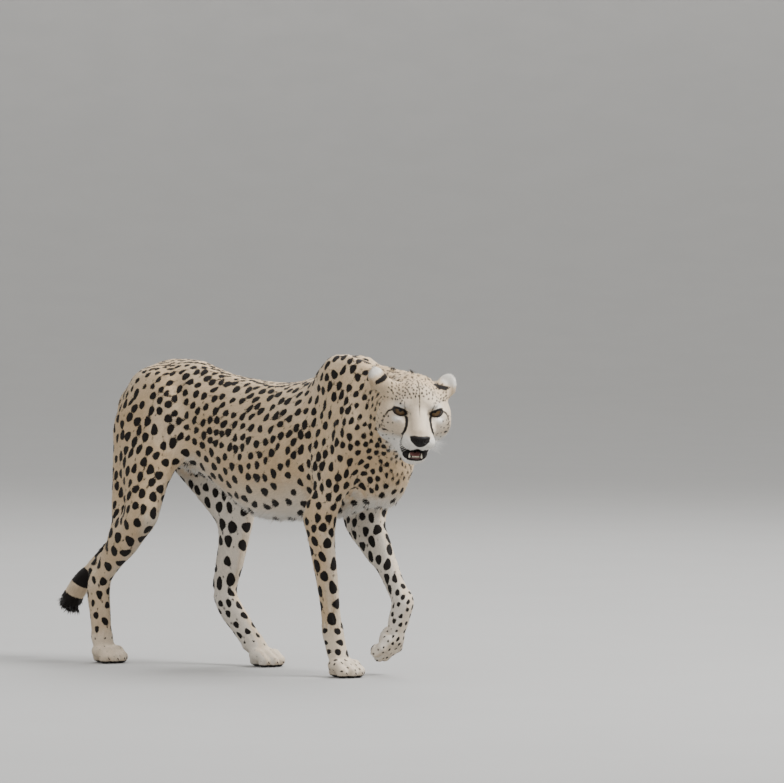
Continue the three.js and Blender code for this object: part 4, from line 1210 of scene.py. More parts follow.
class Nodes:
    # short calls to build a material

    def __init__(self, name):
        self.look = bpy.data.materials.new(name)
        self.look.use_nodes = True
        self.tree = self.look.node_tree
        self.shader = self.tree.nodes["Principled BSDF"]

    def add(self, kind, links=None, **settings):
        node = self.tree.nodes.new(kind)
        for key, value in settings.items():
            setattr(node, key, value)
        for socket, source in (links or {}).items():
            self.link(node, socket, source)
        return node

    def link(self, node, socket, source):
        target = node.inputs[socket]
        if hasattr(source, "links") or hasattr(source, "is_linked"):
            self.tree.links.new(source, target)
        else:
            target.default_value = source

    def value(self, name):
        return self.add("ShaderNodeAttribute", attribute_name=name).outputs["Fac"]

    def noise(self, scale, detail=2.0, roughness=0.5, vector=None):
        place = vector or self.add("ShaderNodeTexCoord").outputs["Object"]
        return self.add("ShaderNodeTexNoise", {"Vector": place, "Scale": scale, "Detail": detail,
                                               "Roughness": roughness}).outputs["Fac"]

    def math(self, operation, a, b=0.0, c=0.0):
        return self.add("ShaderNodeMath", {0: a, 1: b, 2: c}, operation=operation).outputs[0]

    def between(self, value, low, high, toLow=0.0, toHigh=1.0):
        links = {"Value": value, "From Min": low, "From Max": high, "To Min": toLow, "To Max": toHigh}
        return self.add("ShaderNodeMapRange", links, interpolation_type="SMOOTHSTEP").outputs["Result"]

    def mix(self, share, a, b, blend="MIX"):
        node = self.add("ShaderNodeMix", data_type="RGBA", blend_type=blend)
        self.link(node, 0, share)
        for socket, source in ((6, a), (7, b)):
            self.link(node, socket, (*source, 1) if isinstance(source, tuple) else source)
        return node.outputs[2]

    def bump(self, height, strength, distance):
        links = {"Height": height, "Strength": strength, "Distance": distance}
        return self.add("ShaderNodeBump", links).outputs["Normal"]

    def set(self, **sockets):
        for name, source in sockets.items():
            self.link(self.shader, name.replace("_", " "), source)
        return self.look


def coatMaterial(name, onSkin):
    n = Nodes(name)
    markAndShade, pale, shade = n.value("markAndShade"), n.value("pale"), n.value("shade")
    ragged = n.math("MULTIPLY", n.math("SUBTRACT", n.noise(330, 3), 0.5), coatLook["ragged"] * 2)
    edge = n.math("ADD", markAndShade, ragged)
    dark = n.between(edge, coatLook["soft"], -coatLook["soft"])
    drift = n.noise(9, 3)
    sand = n.mix(n.between(drift, 0.3, 0.7), coatLook["back"], coatLook["sand"])
    high = n.add("ShaderNodeNewGeometry").outputs["Normal"]
    upward = n.add("ShaderNodeSeparateXYZ", {0: high}).outputs["Z"]
    sand = n.mix(n.between(upward, 0.35, 1.0, 0, 0.55), sand, coatLook["back"])
    patchy = n.math("MULTIPLY", n.math("SUBTRACT", drift, 0.5), 0.3)
    cloth = n.mix(n.math("ADD", pale, patchy), sand, coatLook["white"])
    fleck = n.between(n.noise(700, 2), 0.35, 0.75, 0.9, 1.05)
    lit = n.math("MULTIPLY", fleck, n.between(shade, 0.0, 1.0, 0.88, 1.09))
    grey = n.add("ShaderNodeCombineColor", {0: lit, 1: lit, 2: lit}).outputs[0]
    cloth = n.mix(1.0, cloth, grey, "MULTIPLY")
    # the coat's near black, for its markings and for the painted shade inside the mouth and under the brows
    colour = n.mix(dark, cloth, coatLook["dark"])
    n.set(Base_Color=colour, Roughness=0.82, Sheen_Weight=0.12, Sheen_Roughness=0.5, Specular_IOR_Level=0.25)
    if onSkin:
        n.set(Normal=n.bump(n.noise(900, 3), 0.5, 0.0012))
    return n.look


skinLook = coatMaterial("coatSkin", True)
furLook = coatMaterial("coatFur", False)
skin.data.materials.clear()
skin.data.materials.append(skinLook)
placed(skin, "coat", *coatNodes)


# coat: tufts of four faces, their roots a little under the skin
tuftForm = {"width": 0.165, "sunk": 0.8, "ridge": 0.42, "rise": 0.11, "tip": 0.13, "yaw": 0.2, "patch": 0.003,
            "lengths": (0.75, 1.2), "widths": (0.7, 1.3), "lifts": (0.3, 1.5), "floor": 0.0002, "quick": 0.2}
coatPieces = {
    "coatHead": ("head", "ear"), "coatNeck": ("neck",), "coatChest": ("chest",), "coatBack": ("loin", "hips"),
    "coatShoulders": ("shoulder",), "coatThighs": ("thigh",), "coatLegs": ("shank", "forearm"),
    "coatFeet": ("metatarsus", "hind_paw", "fore_paw"), "coatTail": ("tail_base", "tail_middle", "tail_tip"),
}
mostTufts = 49500


def unwrapped(places, nodes):
    # each place on a flat map: a tile for each node, across it the angle round the node and up it the length
    uv = np.zeros((len(places), 2))
    kinds = sorted(set(nodes))
    columns = math.ceil(math.sqrt(len(kinds)))
    for tile, number in enumerate(kinds):
        mine = nodes == number
        axis = nodeFlow[number]
        centre = middleOf(coatNodes[number])
        side = unit(np.cross(axis, (0.0, 1, 0)) + 1e-6)
        off = places[mine] - centre
        along = off @ axis
        around = np.arctan2(off @ np.cross(axis, side), off @ side) / (2 * math.pi) + 0.5
        along = (along - along.min()) / max(np.ptp(along), 1e-6)
        row, column = divmod(tile, columns)
        uv[mine] = (np.stack([around, along], 1) * 0.94 + 0.03 + (column, row)) / columns
    return uv


def meshFrom(name, corners, faces, look):
    mesh = bpy.data.meshes.new(name)
    corners[:, 2] = np.maximum(corners[:, 2], tuftForm["floor"])
    mesh.vertices.add(len(corners))
    mesh.vertices.foreach_set("co", corners.astype(np.float32).ravel())
    mesh.loops.add(faces.size)
    mesh.loops.foreach_set("vertex_index", faces.astype(np.int32).ravel())
    mesh.polygons.add(len(faces))
    mesh.polygons.foreach_set("loop_start", np.arange(0, faces.size, 3, dtype=np.int32))
    mesh.polygons.foreach_set("loop_total", np.full(len(faces), 3, np.int32))
    mesh.update()
    mesh.materials.append(look)
    piece = linked(name, mesh)
    placed(piece, "coat", *coatNodes)
    return piece


def mapped(piece, roots, shares, spread, faces, facing):
    # the flat map, on which each tuft or lock has a small patch, and the way the points face
    uv = (unwrapped(roots, shares.argmax(1))[:, None] + spread[None]).reshape(-1, 2)
    layer = piece.data.uv_layers.new(name="OFBake")
    layer.data.foreach_set("uv", uv[faces.reshape(-1)].astype(np.float32).ravel())
    piece.data.shade_smooth()
    facing = np.stack(facing, 1).reshape(-1, 3)
    piece.data.normals_split_custom_set_from_vertices(facing.astype(np.float32))


def rooted(count, weights, spread):
    # random places on the skin for hair, and the way it lies there
    corners, parts, _ = sampled(skin.data, count, weights)
    roots, normal, shares = placesAt(corners, parts)
    way = flowOver(roots, normal, shares)
    across = np.cross(normal, way)
    yaw = draw.normal(0, spread, count)[:, None]
    return roots, normal, shares, unit(way * np.cos(yaw) + across * np.sin(yaw))


def layTufts(name, roots, normal, way, length, width, lift, values, shares):
    across = np.cross(way, normal)
    down = normal * (tuftForm["sunk"] / 1000)
    half = across * (width / 2000)[:, None]
    ridge, tip = (roots + way * (length * along / 1000)[:, None] + normal * (length * up / 1000)[:, None]
                  for along, up in ((tuftForm["ridge"], tuftForm["rise"]), (1, lift)))
    corners = np.stack([roots - half - down, roots + half - down, ridge, tip], 1)
    base = (np.arange(len(roots)) * 4)[:, None, None]
    faces = base + np.array([(0, 1, 2), (0, 2, 3), (1, 3, 2), (0, 3, 1)])[None]
    piece = meshFrom(name, corners.reshape(-1, 3), faces.reshape(-1, 3), furLook)
    for key, value in values.items():
        addValues(piece.data, key, np.repeat(value, 4))
    marks = [markAndShadeDistance(place, shares) for place in (roots, ridge, tip)]
    addValues(piece.data, "markAndShade", np.stack([marks[0], *marks], 1).ravel())
    spread = np.array([(-0.5, -0.5), (0.5, -0.5), (0, 0), (0, 0.5)]) * tuftForm["patch"]
    facing = [unit(normal - across * 0.25), unit(normal + across * 0.25), normal, unit(normal + way * 0.3)]
    mapped(piece, roots, shares, spread, faces, facing)


def growCoat(name, kinds):
    own = [i for i, n in enumerate(coatNodes) if kindOf(n) in kinds]
    thick = fromParts(skinShares, "thick") * np.isin(skinShares.argmax(1), own) * bareless
    total = sampled(skin.data, 1, thick)[2]
    count = int(min(total * 1e4 * (1), mostTufts))
    roots, normal, shares, way = rooted(count, thick, tuftForm["yaw"])
    length = hairLength(roots, normal, shares) * draw.uniform(*tuftForm["lengths"], count)
    width = length * tuftForm["width"] * draw.uniform(*tuftForm["widths"], count)
    lift = tuftForm["tip"] * draw.uniform(*tuftForm["lifts"], count)
    values = {"pale": paleOver(roots, normal, shares), "shade": draw.random(count)}
    layTufts(name, roots, normal, way, length, width, lift, values, shares)
    print(name, count, "tufts")


hairForm = {"belly": 0.9, "head": 2, "jowl": 2.5, "face": 3}


def hairLength(roots, normal, shares):
    length = fromParts(shares, "hair")
    trunk = shareOf(shares, "loin", "chest")
    length = length * (1 + trunk * ease(-normal[:, 2], 0.3, 0.9) * hairForm["belly"])
    p = inHead(roots)
    face = ease(p[:, 0], -40, 40)
    jowl = ease(-p[:, 2], 30, 70) * ease(-p[:, 0], -20, 30)
    more = hairForm["jowl"] * jowl - hairForm["face"] * face + hairForm["head"]
    return length + shareOf(shares, "head") * more


def bare():
    # 1 where fur grows, 0 in the mouth, on the nose and inside the lids
    p = inHead(points)
    near = headShare(points) > 0.3
    q = mirrored(p)
    inMouth = (q[:, 0] > lipForm["bareFrom"]) & (np.abs(q[:, 1]) < lipForm["half"])
    inMouth &= mouthGap(q) < lipForm["bareGap"]
    nose = (p[:, 0] > 58) & (outlineDistance(p[:, 1], p[:, 2], noseForm["outline"]) > 0.8)
    eyes = np.zeros(len(p), bool)
    for r, close in roundEyes(p):
        eyes |= close & (lidDistance(r) < lidForm["bare"])
    return np.where(near & (inMouth | nose | eyes), 0.0, 1.0)


bareless = bare() * (soleDistance(points) > 1)
for pieceName, kinds in coatPieces.items():
    growCoat(pieceName, kinds)


# eyes: a dark globe with an amber iris, drawn by the angle from where the eye looks
eyeLook = {"iris": 0.80, "pupil": 0.24, "amber": (0.072, 0.038, 0.013), "inner": (0.105, 0.062, 0.022),
           "rim": (0.02, 0.011, 0.006), "white": (0.03, 0.022, 0.017), "over": 1.6}


def eyeMaterial():
    n = Nodes("eyeGlobe")
    angle = n.value("angle")
    turn = n.add("ShaderNodeAttribute", attribute_name="turn").outputs["Vector"]
    rays = n.add("ShaderNodeMapping", {"Vector": turn, "Scale": (26, 26, 3)}).outputs[0]
    streak = n.noise(1.0, 3, 0.6, rays)
    iris = n.mix(n.between(angle, eyeLook["pupil"], eyeLook["iris"]), eyeLook["inner"], eyeLook["amber"])
    iris = n.mix(n.between(streak, 0.35, 0.7, 0, 0.55), iris, eyeLook["rim"])
    iris = n.mix(n.between(angle, eyeLook["iris"] - 0.12, eyeLook["iris"] - 0.01), iris, eyeLook["rim"])
    globe = n.mix(n.between(angle, eyeLook["iris"] - 0.005, eyeLook["iris"] + 0.03), iris, eyeLook["white"])
    pupil = n.between(angle, eyeLook["pupil"] - 0.012, eyeLook["pupil"] + 0.012)
    colour = n.mix(pupil, (0.002, 0.002, 0.002), globe)
    return n.set(Base_Color=colour, Roughness=0.16, Specular_IOR_Level=0.15, Coat_Weight=0.3,
                 Coat_Roughness=0.03, Normal=n.bump(streak, 0.12, 0.0003))


def makeEye(side, look):
    build = bmesh.new()
    bmesh.ops.create_uvsphere(build, u_segments=64, v_segments=40, radius=eyeForm["radius"] / 1000)
    place = Vector(outOfHead(lidAxes(side)[1]))
    gaze = (onBody(*cameraForm["at"]) + Vector((0, 0, eyeLook["over"])) - place).normalized()
    aim = gaze.to_track_quat("Z", "Y").to_matrix().to_4x4()
    bmesh.ops.transform(build, matrix=aim, verts=build.verts)
    mesh = bpy.data.meshes.new("eyeBall_" + side)
    build.to_mesh(mesh)
    build.free()
    ways = unit(coordinates(mesh))
    addValues(mesh, "angle", np.arccos(np.clip(ways @ np.array(gaze), -1, 1)))
    local = ways @ np.array(aim.to_3x3())
    layer = mesh.attributes.new("turn", "FLOAT_VECTOR", "POINT")
    flat = local / np.maximum(np.hypot(local[:, 0], local[:, 1]), 0.02)[:, None]
    layer.data.foreach_set("vector", flat.astype(np.float32).ravel())
    mesh.transform(Matrix.Translation(place))
    mesh.materials.append(look)
    mesh.shade_smooth()
    placed(linked("eyeBall_" + side, mesh), "eye", "eye_" + side)


eyeShine = eyeMaterial()
for side in bothSides:
    makeEye(side, eyeShine)


# lid rims: a thin dark wet edge round each eye
rimForm = {"steps": 40, "sides": 8, "radius": 0.55, "out": 17.2, "upper": 0.6}


def tubeAlong(build, path, radii, sides, closed=False):
    # a round tube through a list of points
    path = [Vector(p) for p in path]
    rings = []
    side = None
    for i, place in enumerate(path):
        after = path[(i + 1) % len(path)] if closed or i + 1 < len(path) else place
        before = path[i - 1] if closed or i else place
        run = (after - before).normalized()
        side = run.orthogonal() if side is None else side - run * side.dot(run)
        side.normalize()
        aim = Matrix((side, run.cross(side), run)).transposed().to_4x4()
        aim.translation = place
        ring = bmesh.ops.create_circle(build, segments=sides, radius=radii[i], matrix=aim)["verts"]
        rings.append(list({edge for vertex in ring for edge in vertex.link_edges}))
    for one, two in list(zip(rings, rings[1:])) + ([(rings[-1], rings[0])] if closed else []):
        bmesh.ops.bridge_loops(build, edges=one + two)
    if not closed:
        bmesh.ops.edgeloop_fill(build, edges=rings[0])
        bmesh.ops.edgeloop_fill(build, edges=rings[-1])


def pieceFrom(build, name, look, slot, *replaced):
    bmesh.ops.recalc_face_normals(build, faces=build.faces)
    mesh = bpy.data.meshes.new(name)
    build.to_mesh(mesh)
    build.free()
    mesh.materials.append(look)
    mesh.shade_smooth()
    placed(linked(name, mesh), slot, *replaced)


def wetMaterial(name, colour, roughness, scale, strength, shine=0.35):
    n = Nodes(name)
    grain = n.noise(scale, 4, 0.6)
    shade = n.mix(n.between(grain, 0.3, 0.75), colour, tuple(c * 1.9 for c in colour))
    return n.set(Base_Color=shade, Roughness=roughness, Specular_IOR_Level=shine, Coat_Weight=shine / 3,
                 Coat_Roughness=0.3, Normal=n.bump(grain, strength, 0.0006))


def makeLidRims(look):
    build = bmesh.new()
    for side in bothSides:
        axes, place = lidAxes(side)
        angles = np.linspace(0, 2 * math.pi, rimForm["steps"], endpoint=False)
        u, v = lidEdge(angles)
        deep = np.sqrt(np.maximum(rimForm["out"] ** 2 - u**2 - v**2, 1))
        path = outOfHead(np.stack([u, v, deep], 1) @ axes.T + place)
        radii = (1 + rimForm["upper"] * np.maximum(np.sin(angles), 0)) * rimForm["radius"] / 1000
        tubeAlong(build, path, radii, rimForm["sides"], closed=True)
    pieceFrom(build, "lidRims", look, "nose")


makeLidRims(wetMaterial("lidSkin", (0.004, 0.0035, 0.003), 0.75, 1400, 0.3, 0.1))
print("eyes made")


# nose leather: a grid inside the outline, laid on the muzzle, raised and thickened
def noseField(p):
    soft = noseForm["soft"]
    total = melt(headField(p), egg(*noseForm["swell"])(p), soft["swell"])
    q = p.copy()
    q[:, 1] = np.abs(q[:, 1])
    for place, radii in noseForm["nostril"]:
        total = carve(total, egg(place, radii)(q), soft["nostril"])
    start, end, radius = noseForm["slit"]
    return carve(total, rodDistance(p, (*start, radius), (*end, radius)), soft["slit"])


def noseGrid(build):
    # how far aside and how high each point of the grid is, in the head's millimetres
    grid = noseForm["grid"]
    flat = np.array([v.co for v in build.verts])
    return flat[:, 0] * grid["wide"], grid["middle"] + flat[:, 1] * grid["tall"]


def moveTo(build, places):
    for vert, place in zip(build.verts, places):
        vert.co = place


def makeNose(look):
    build = bmesh.new()
    grid = noseForm["grid"]
    bmesh.ops.create_grid(build, x_segments=grid["across"], y_segments=grid["up"], size=0.5)
    inside = insideOutline(*noseGrid(build), noseForm["outline"])
    bmesh.ops.delete(build, geom=[v for v, yes in zip(build.verts, inside) if not yes], context="VERTS")
    loose = [v for v in build.verts if not v.link_faces]
    bmesh.ops.delete(build, geom=loose, context="VERTS")
    y, z = noseGrid(build)
    # every point goes back from before the muzzle until it meets the nose's surface
    x = np.full(len(y), noseForm["front"])
    for _ in range(60):
        gap = noseField(np.stack([x, y, z], 1))
        x = np.where((gap > 0.05) & (x > noseForm["back"]), x - np.maximum(gap * 0.7, 0.05), x)
    deep = outlineDistance(y, z, noseForm["outline"])
    p = np.stack([x, y, z], 1)
    p[:, 0] += noseForm["raise"] * ease(deep, 0, noseForm["raiseOver"]) - noseForm["sunk"]
    moveTo(build, outOfHead(p))
    bmesh.ops.recalc_face_normals(build, faces=build.faces)
    ahead = headTurn @ Vector((1, 0, 0))
    if sum(f.normal.dot(ahead) for f in build.faces) < 0:
        bmesh.ops.reverse_faces(build, faces=build.faces)
    axes = {"use_axis_" + axis: True for axis in "xyz"}
    bmesh.ops.smooth_vert(build, verts=build.verts, factor=0.4, **axes)
    bmesh.ops.solidify(build, geom=build.faces[:], thickness=noseForm["thick"] / 1000)
    pieceFrom(build, "noseLeather", look, "nose", "nose")


makeNose(wetMaterial("noseSkin", (0.005, 0.004, 0.004), 0.45, 1600, 0.6, 0.16))
print("nose made")


# teeth and tongue, on the leaning jaw
teethForm = {
    "level": -90,
    "canine": {"at": (48, 13.0, -94.5), "tall": 11.5, "radius": 2.8, "back": 3.0, "lean": 0.8, "taper": 0.92},
    "incisor": {"at": (52.0, -91), "count": 6, "apart": 2.9, "tall": 3.4, "radius": 1.2, "back": 0.3,
                "aside": (0.16, 0.06), "along": (0.9, 1.0, 1.08, 1.1, 1.0, 0.75, 0.35)},
    "gum": {"at": (51.5, -94.5), "bend": 3.5, "radius": 4.2, "half": 13.5, "taper": 0.35},
    "tongue": {"at": (23, 0, -87.5), "level": -88, "half": (28, 14, 4.5), "groove": 1.6, "grooveHalf": 3.5,
               "curl": 1.5, "droop": 2.0},
}


def toothPath(at, tall, back, lean):
    x, y, z = at
    return [(x - back * (1 - math.cos(t * 1.5)), y + lean * t, z + tall * t) for t in np.linspace(0, 1, 7)]


def makeTeeth(look):
    build = bmesh.new()
    lean = jawLean(teethForm["level"])
    form = teethForm["canine"]
    for side in (-1, 1):
        x, y, z = form["at"]
        path = toothPath((x, side * y - lean, z), form["tall"], form["back"], side * form["lean"])
        radii = [form["radius"] * (1 - form["taper"] * t**1.7) / 1000 for t in np.linspace(0, 1, 7)]
        tubeAlong(build, outOfHead(path), radii, 12)
    form = teethForm["incisor"]
    for i in range(form["count"]):
        y = (i - 2.5) * form["apart"]
        ahead, lower = (abs(y) * share for share in form["aside"])
        at = (form["at"][0] - ahead, y - lean, form["at"][1])
        radii = [form["radius"] * r / 1000 for r in form["along"]]
        tubeAlong(build, outOfHead(toothPath(at, form["tall"] - lower, form["back"], 0)), radii, 8)
    pieceFrom(build, "lowerTeeth", look, "tooth", "teeth")


def makeGum(look):
    build = bmesh.new()
    form = teethForm["gum"]
    x, z = form["at"]
    steps = np.linspace(-1, 1, 15)
    lean = jawLean(teethForm["level"])
    path = [(x - form["bend"] * abs(t) ** 2, t * form["half"] - lean, z) for t in steps]
    radii = [form["radius"] * (1 - form["taper"] * abs(t)) / 1000 for t in steps]
    tubeAlong(build, outOfHead(path), radii, 12)
    pieceFrom(build, "lowerGum", look, "tongue")


def makeTongue(look):
    form = teethForm["tongue"]
    build = bmesh.new()
    bmesh.ops.create_uvsphere(build, u_segments=40, v_segments=24, radius=1)
    for vert in build.verts:
        x, y, z = (c * h for c, h in zip(vert.co, form["half"]))
        z -= form["groove"] * math.exp(-((y / form["grooveHalf"]) ** 2)) * (1 if vert.co.z > 0 else -0.3)
        z += form["curl"] * (y / form["half"][1]) ** 2 - form["droop"] * max(0, vert.co.x) ** 2
        vert.co = (x + form["at"][0], y - jawLean(form["level"]), z + form["at"][2])
    moveTo(build, outOfHead([v.co for v in build.verts]))
    pieceFrom(build, "tongueBlade", look, "tongue", "tongue")


def toothMaterial():
    n = Nodes("toothIvory")
    grain = n.noise(260, 3, 0.6)
    colour = n.mix(n.between(grain, 0.3, 0.8, 0, 0.6), (0.74, 0.69, 0.57), (0.55, 0.45, 0.29))
    return n.set(Base_Color=colour, Roughness=0.22, Specular_IOR_Level=0.5, Coat_Weight=0.35,
                 Coat_Roughness=0.1, Normal=n.bump(grain, 0.1, 0.0004))


makeTeeth(toothMaterial())
makeGum(wetMaterial("mouthSkin", (0.055, 0.022, 0.021), 0.35, 900, 0.5))
makeTongue(wetMaterial("tongueSkin", (0.16, 0.068, 0.064), 0.35, 900, 0.5))
print("mouth made")


# whiskers
whiskerForm = {"rows": 4, "each": 5, "first": (66, 24, -52), "length": (22, 46), "radius": 0.32, "sides": 5,
               "steps": 8, "bend": (-0.34, 0, -0.16), "vary": 0.06}


def makeWhiskers(look):
    build = bmesh.new()
    form = whiskerForm
    for side in (-1, 1):
        for row in range(form["rows"]):
            for step in range(form["each"]):
                x, y, z = form["first"]
                root = (x - step * 8.5 - row * 2, side * (y + step * 4), z - row * 5 - step)
                root = drawOn(np.array([root], float), headField, -1, turns=12, reach=4)[0]
                reach = draw.uniform(*form["length"]) * (0.6 + 0.11 * step)
                out = np.array((-0.05 - 0.12 * step, side * 1.0, -0.28 - 0.12 * row))
                out = unit(out + draw.normal(0, form["vary"], 3))
                path, radii = [], []
                for t in np.linspace(0, 1, form["steps"]):
                    bend = np.array(form["bend"]) * t * t
                    path.append(root + (out * t + bend) * reach)
                    radii.append(form["radius"] * (1 - 0.85 * t) / 1000)
                tubeAlong(build, outOfHead(path), radii, form["sides"])
    pieceFrom(build, "whiskers", look, "coat")


def whiskerMaterial():
    n = Nodes("whiskerHair")
    streak = n.noise(500, 2)
    colour = n.mix(n.between(streak, 0.35, 0.7, 0, 0.4), (0.86, 0.84, 0.79), (0.62, 0.58, 0.5))
    return n.set(Base_Color=colour, Roughness=0.35, Specular_IOR_Level=0.5,
                 Normal=n.bump(streak, 0.1, 0.0002))


makeWhiskers(whiskerMaterial())


# claws: dark, blunt and hardly hidden, as a cheetah's are
clawForm = {"radius": 2.9, "length": 15, "steps": 7, "sides": 10, "curl": 0.9, "angle": 0.12, "ahead": 3,
            "aside": 1.05, "up": 1, "taper": 0.95}


def clawPath(side, reach):
    # the line of a claw along its toe, curling down, and its radii
    form = clawForm
    path = [np.array((reach + form["ahead"], side * form["aside"], form["up"] - pawForm["droop"]))]
    radii, angle = [form["radius"] / 1000], form["angle"]
    for step in range(1, form["steps"]):
        angle += form["curl"] / form["steps"]
        run = np.array((math.cos(angle), 0, -math.sin(angle)))
        path.append(path[-1] + run * form["length"] / form["steps"])
        radii.append(form["radius"] * (1 - (step / form["steps"]) ** 1.4 * form["taper"]) / 1000)
    return path, radii


def makeClaws(look):
    build = bmesh.new()
    for name in pawNames:
        for side, reach, _ in pawForm["toes"]:
            path, radii = clawPath(side, reach)
            tubeAlong(build, outOfFrame(path, *pawPlace(name)), radii, clawForm["sides"])
    pieceFrom(build, "claws", look, "nose")


makeClaws(wetMaterial("clawHorn", (0.030, 0.022, 0.017), 0.33, 420, 0.25))
print("claws made")


# longer hair: the crest on the nape, the belly's fringe, the tail's brush, the ruff and the backs of the legs
lockForm = {"rings": 3, "width": 0.07, "patch": 0.003, "sunk": 1.5, "yaw": 0.28, "rises": (0.5, 1.3),
            "reach": 0.92, "bow": 0.45, "taper": 0.55, "section": ((-0.5, -0.29), (0.5, -0.29), (0, 0.58)),
            "quick": 0.4}
longHair = {
    "nape": {"count": 4200, "length": (10, 19), "rise": 0.32, "drop": 0.0},
    "belly": {"count": 2600, "length": (14, 26), "rise": 0.12, "drop": 0.45},
    "brush": {"count": 2800, "length": (18, 30), "rise": 0.24, "drop": 0.0},
    "ruff": {"count": 900, "length": (7, 12), "rise": 0.2, "drop": 0.12},
    "ears": {"count": 500, "length": (6, 11), "rise": 0.35, "drop": 0.0},
    "thighs": {"count": 1000, "length": (9, 14), "rise": 0.3, "drop": 0.1},
}
lockPieces = {"locksFront": ("nape", "ruff", "ears"), "locksBelow": ("belly", "thighs"),
              "locksTail": ("brush",)}


def lockWeights():
    p = inHead(points)
    trunk, neck, onHead, tip, onEar = (shareOf(skinShares, *kinds) for kinds in (
        ("chest", "loin"), ("neck",), ("head",), ("tail_tip",), ("ear",)))
    legs = shareOf(skinShares, "thigh", "shank", "shoulder")
    jowl = ease(-p[:, 2], 30, 60) * ease(-p[:, 0], 5, 40) * ease(np.abs(p[:, 1]), 35, 60)
    ears = np.zeros(len(points))
    for q, far in roundEars(p):
        ears += ease(np.hypot(q[:, 1], q[:, 2]), 15, 20) * (far < 30)
    up, back = skinNormals[:, 2], -skinNormals[:, 0]
    return {"nape": neck * ease(up, 0.55, 0.95), "belly": trunk * ease(-up, 0.6, 0.95), "brush": tip,
            "ruff": onHead * jowl, "ears": ears * onEar, "thighs": legs * ease(back, 0.7, 0.95)}


def gatherLocks(kinds):
    # the roots of a piece's locks, how they lie, and their lengths in millimetres
    grown = []
    weights = lockWeights()
    for kind in kinds:
        form = longHair[kind]
        count = int(form["count"] * (1))
        roots, normal, shares, way = rooted(count, weights[kind] * bareless, lockForm["yaw"])
        length = draw.uniform(*form["length"], count)
        rise = form["rise"] * draw.uniform(*lockForm["rises"], count)
        grown.append((roots, normal, way, length, rise, np.full(count, form["drop"]), shares))
    return (np.concatenate(values) for values in zip(*grown))


def lockFaces(rings):
    faces = [(0, 1, 2)]
    for ring in range(rings - 1):
        for k in range(3):
            a, b = ring * 3 + k, ring * 3 + (k + 1) % 3
            faces += [(a, b + 3, b), (a, a + 3, b + 3)]
    last = (rings - 1) * 3
    return np.array(faces + [(last + (k + 1) % 3, last + k, last + 3) for k in range(3)])


def growLocks(name, kinds, look):
    # long tapered locks of three sides, bent over by their weight
    roots, normal, way, length, rise, drop, shares = gatherLocks(kinds)
    form, count, rings = lockForm, len(roots), lockForm["rings"]
    across = np.cross(way, normal)
    corners, marks, facing = [], [], []
    for t in np.linspace(0, 1, rings + 1):
        up = rise * (t - form["bow"] * t * t) - form["sunk"] / length * (t == 0)
        middle = roots + (length / 1000)[:, None] * (way * t * form["reach"] + normal * up[:, None])
        middle[:, 2] -= drop * t * t * length / 1000
        markAndShade = markAndShadeDistance(middle, shares)
        if t == 1:
            corners.append(middle)
            marks.append(markAndShade)
            facing.append(unit(normal + way * 0.4))
            continue
        wide = (length * form["width"] * (1 - form["taper"] * t) / 1000)[:, None]
        for a, b in form["section"]:
            corners.append(middle + across * a * wide + normal * b * wide)
            marks.append(markAndShade)
            facing.append(unit(normal + across * a * 0.5 + way * 0.15))
    each = len(corners)
    faces = (np.arange(count) * each)[:, None, None] + lockFaces(rings)[None]
    piece = meshFrom(name, np.stack(corners, 1).reshape(-1, 3), faces.reshape(-1, 3), look)
    addValues(piece.data, "markAndShade", np.stack(marks, 1).ravel())
    addValues(piece.data, "pale", np.repeat(paleOver(roots, normal, shares), each))
    addValues(piece.data, "shade", np.repeat(draw.random(count), each))
    spread = [(x, y) for y in np.linspace(-0.5, 0.3, rings) for x in (-0.5, 0.5, 0.0)] + [(0, 0.5)]
    mapped(piece, roots, shares, np.array(spread) * form["patch"], faces, facing)
    print(name, count, "locks")


for pieceName, kinds in lockPieces.items():
    growLocks(pieceName, kinds, furLook)


# a pale studio: a floor that curves up into a wall all round, lit softly from above
stageForm = {"flat": 19.0, "curve": 18.0, "wall": 5.0, "steps": 16, "floor": (0.36, 0.357, 0.35),
             "wallsPaintedLighter": (0.88, 0.87, 0.85), "patch": (0.3, 0.3, 0.295), "sky": (0.80, 0.795, 0.785),
             "skyLight": 1.5}


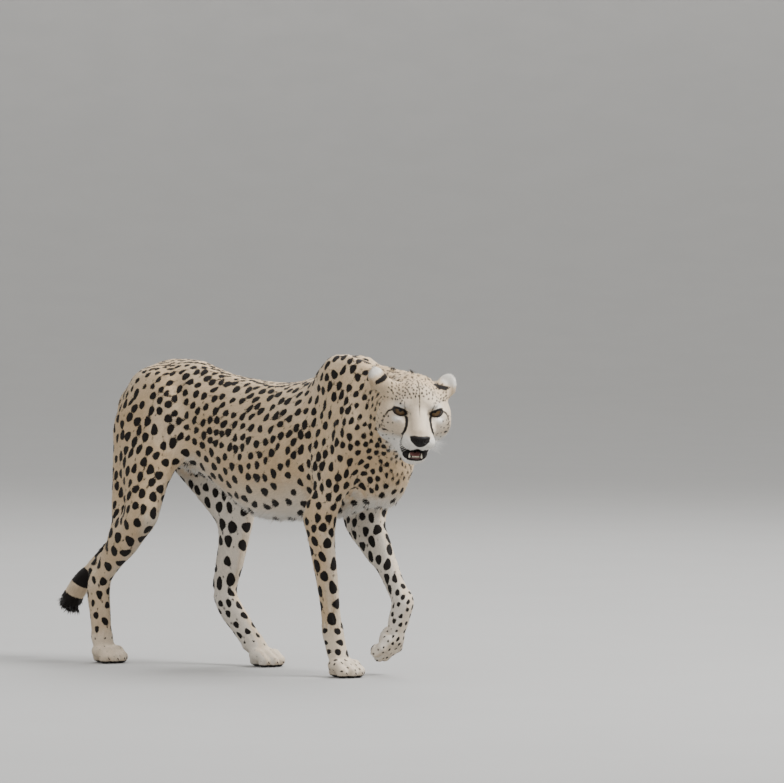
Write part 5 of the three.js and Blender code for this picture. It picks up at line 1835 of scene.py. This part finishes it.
def makeStage():
    flat, curve = stageForm["flat"], stageForm["curve"]
    bends = [math.pi / 2 * i / stageForm["steps"] for i in range(stageForm["steps"] + 1)]
    profile = [(0, 0)] + [(flat + curve * math.sin(a), curve * (1 - math.cos(a))) for a in bends]
    profile.append((flat + curve, curve + stageForm["wall"]))
    build = bmesh.new()
    verts = [build.verts.new((x, 0, z)) for x, z in profile]
    edges = [build.edges.new(pair) for pair in zip(verts, verts[1:])]
    bmesh.ops.spin(build, geom=verts + edges, axis=(0, 0, 1), angle=2 * math.pi, steps=96, use_merge=True)
    bmesh.ops.recalc_face_normals(build, faces=build.faces)
    if build.faces[0].normal.z < 0:
        bmesh.ops.reverse_faces(build, faces=build.faces)
    mesh = bpy.data.meshes.new("floor")
    build.to_mesh(mesh)
    build.free()
    floor = linked("floor", mesh)
    n = Nodes("paleFloor")
    place = n.add("ShaderNodeTexCoord").outputs["Object"]
    height = n.add("ShaderNodeSeparateXYZ", {0: place}).outputs["Z"]
    # painted light: grey on the floor to near white on the wall over the first 9 m of height, making up for
    # the lesser light the wall gets
    paintedLightByHeight = n.mix(n.between(height, 0.0, 9.0), stageForm["floor"], stageForm["wallsPaintedLighter"])
    patch = n.between(n.noise(3, 4), 0.3, 0.7, 0, 0.12)
    n.set(Base_Color=n.mix(patch, paintedLightByHeight, stageForm["patch"]), Roughness=0.95)
    mesh.materials.append(n.look)
    mesh.shade_smooth()


makeStage()
lamps = {
    "key": {"at": (4.4, 1.4, 5.4), "size": 3.0, "power": 650, "target": (0.35, 0, 0.45)},
    "fill": {"at": (0.5, -7.5, 3.0), "size": 5.0, "power": 70, "target": (0.3, 0, 0.4)},
    "rear": {"at": (-2.0, 5.0, 5.5), "size": 4.0, "power": 300, "target": (0.3, 0, 0.5)},
}


def makeLamp(name):
    form = lamps[name]
    data = bpy.data.lights.new(name, "AREA")
    data.size, data.energy = form["size"], form["power"]
    lamp = bpy.data.objects.new(name, data)
    lamp.location = onBody(*form["at"])
    aim = onBody(*form["target"]) - lamp.location
    lamp.rotation_euler = aim.to_track_quat("-Z", "Y").to_euler()
    scene.collection.objects.link(lamp)


for name in lamps:
    makeLamp(name)
world = bpy.data.worlds.new("world")
world.use_nodes = True
sky = world.node_tree.nodes["Background"].inputs
sky["Color"].default_value = (*stageForm["sky"], 1)
sky["Strength"].default_value = stageForm["skyLight"]
scene.world = world
print("stage set")
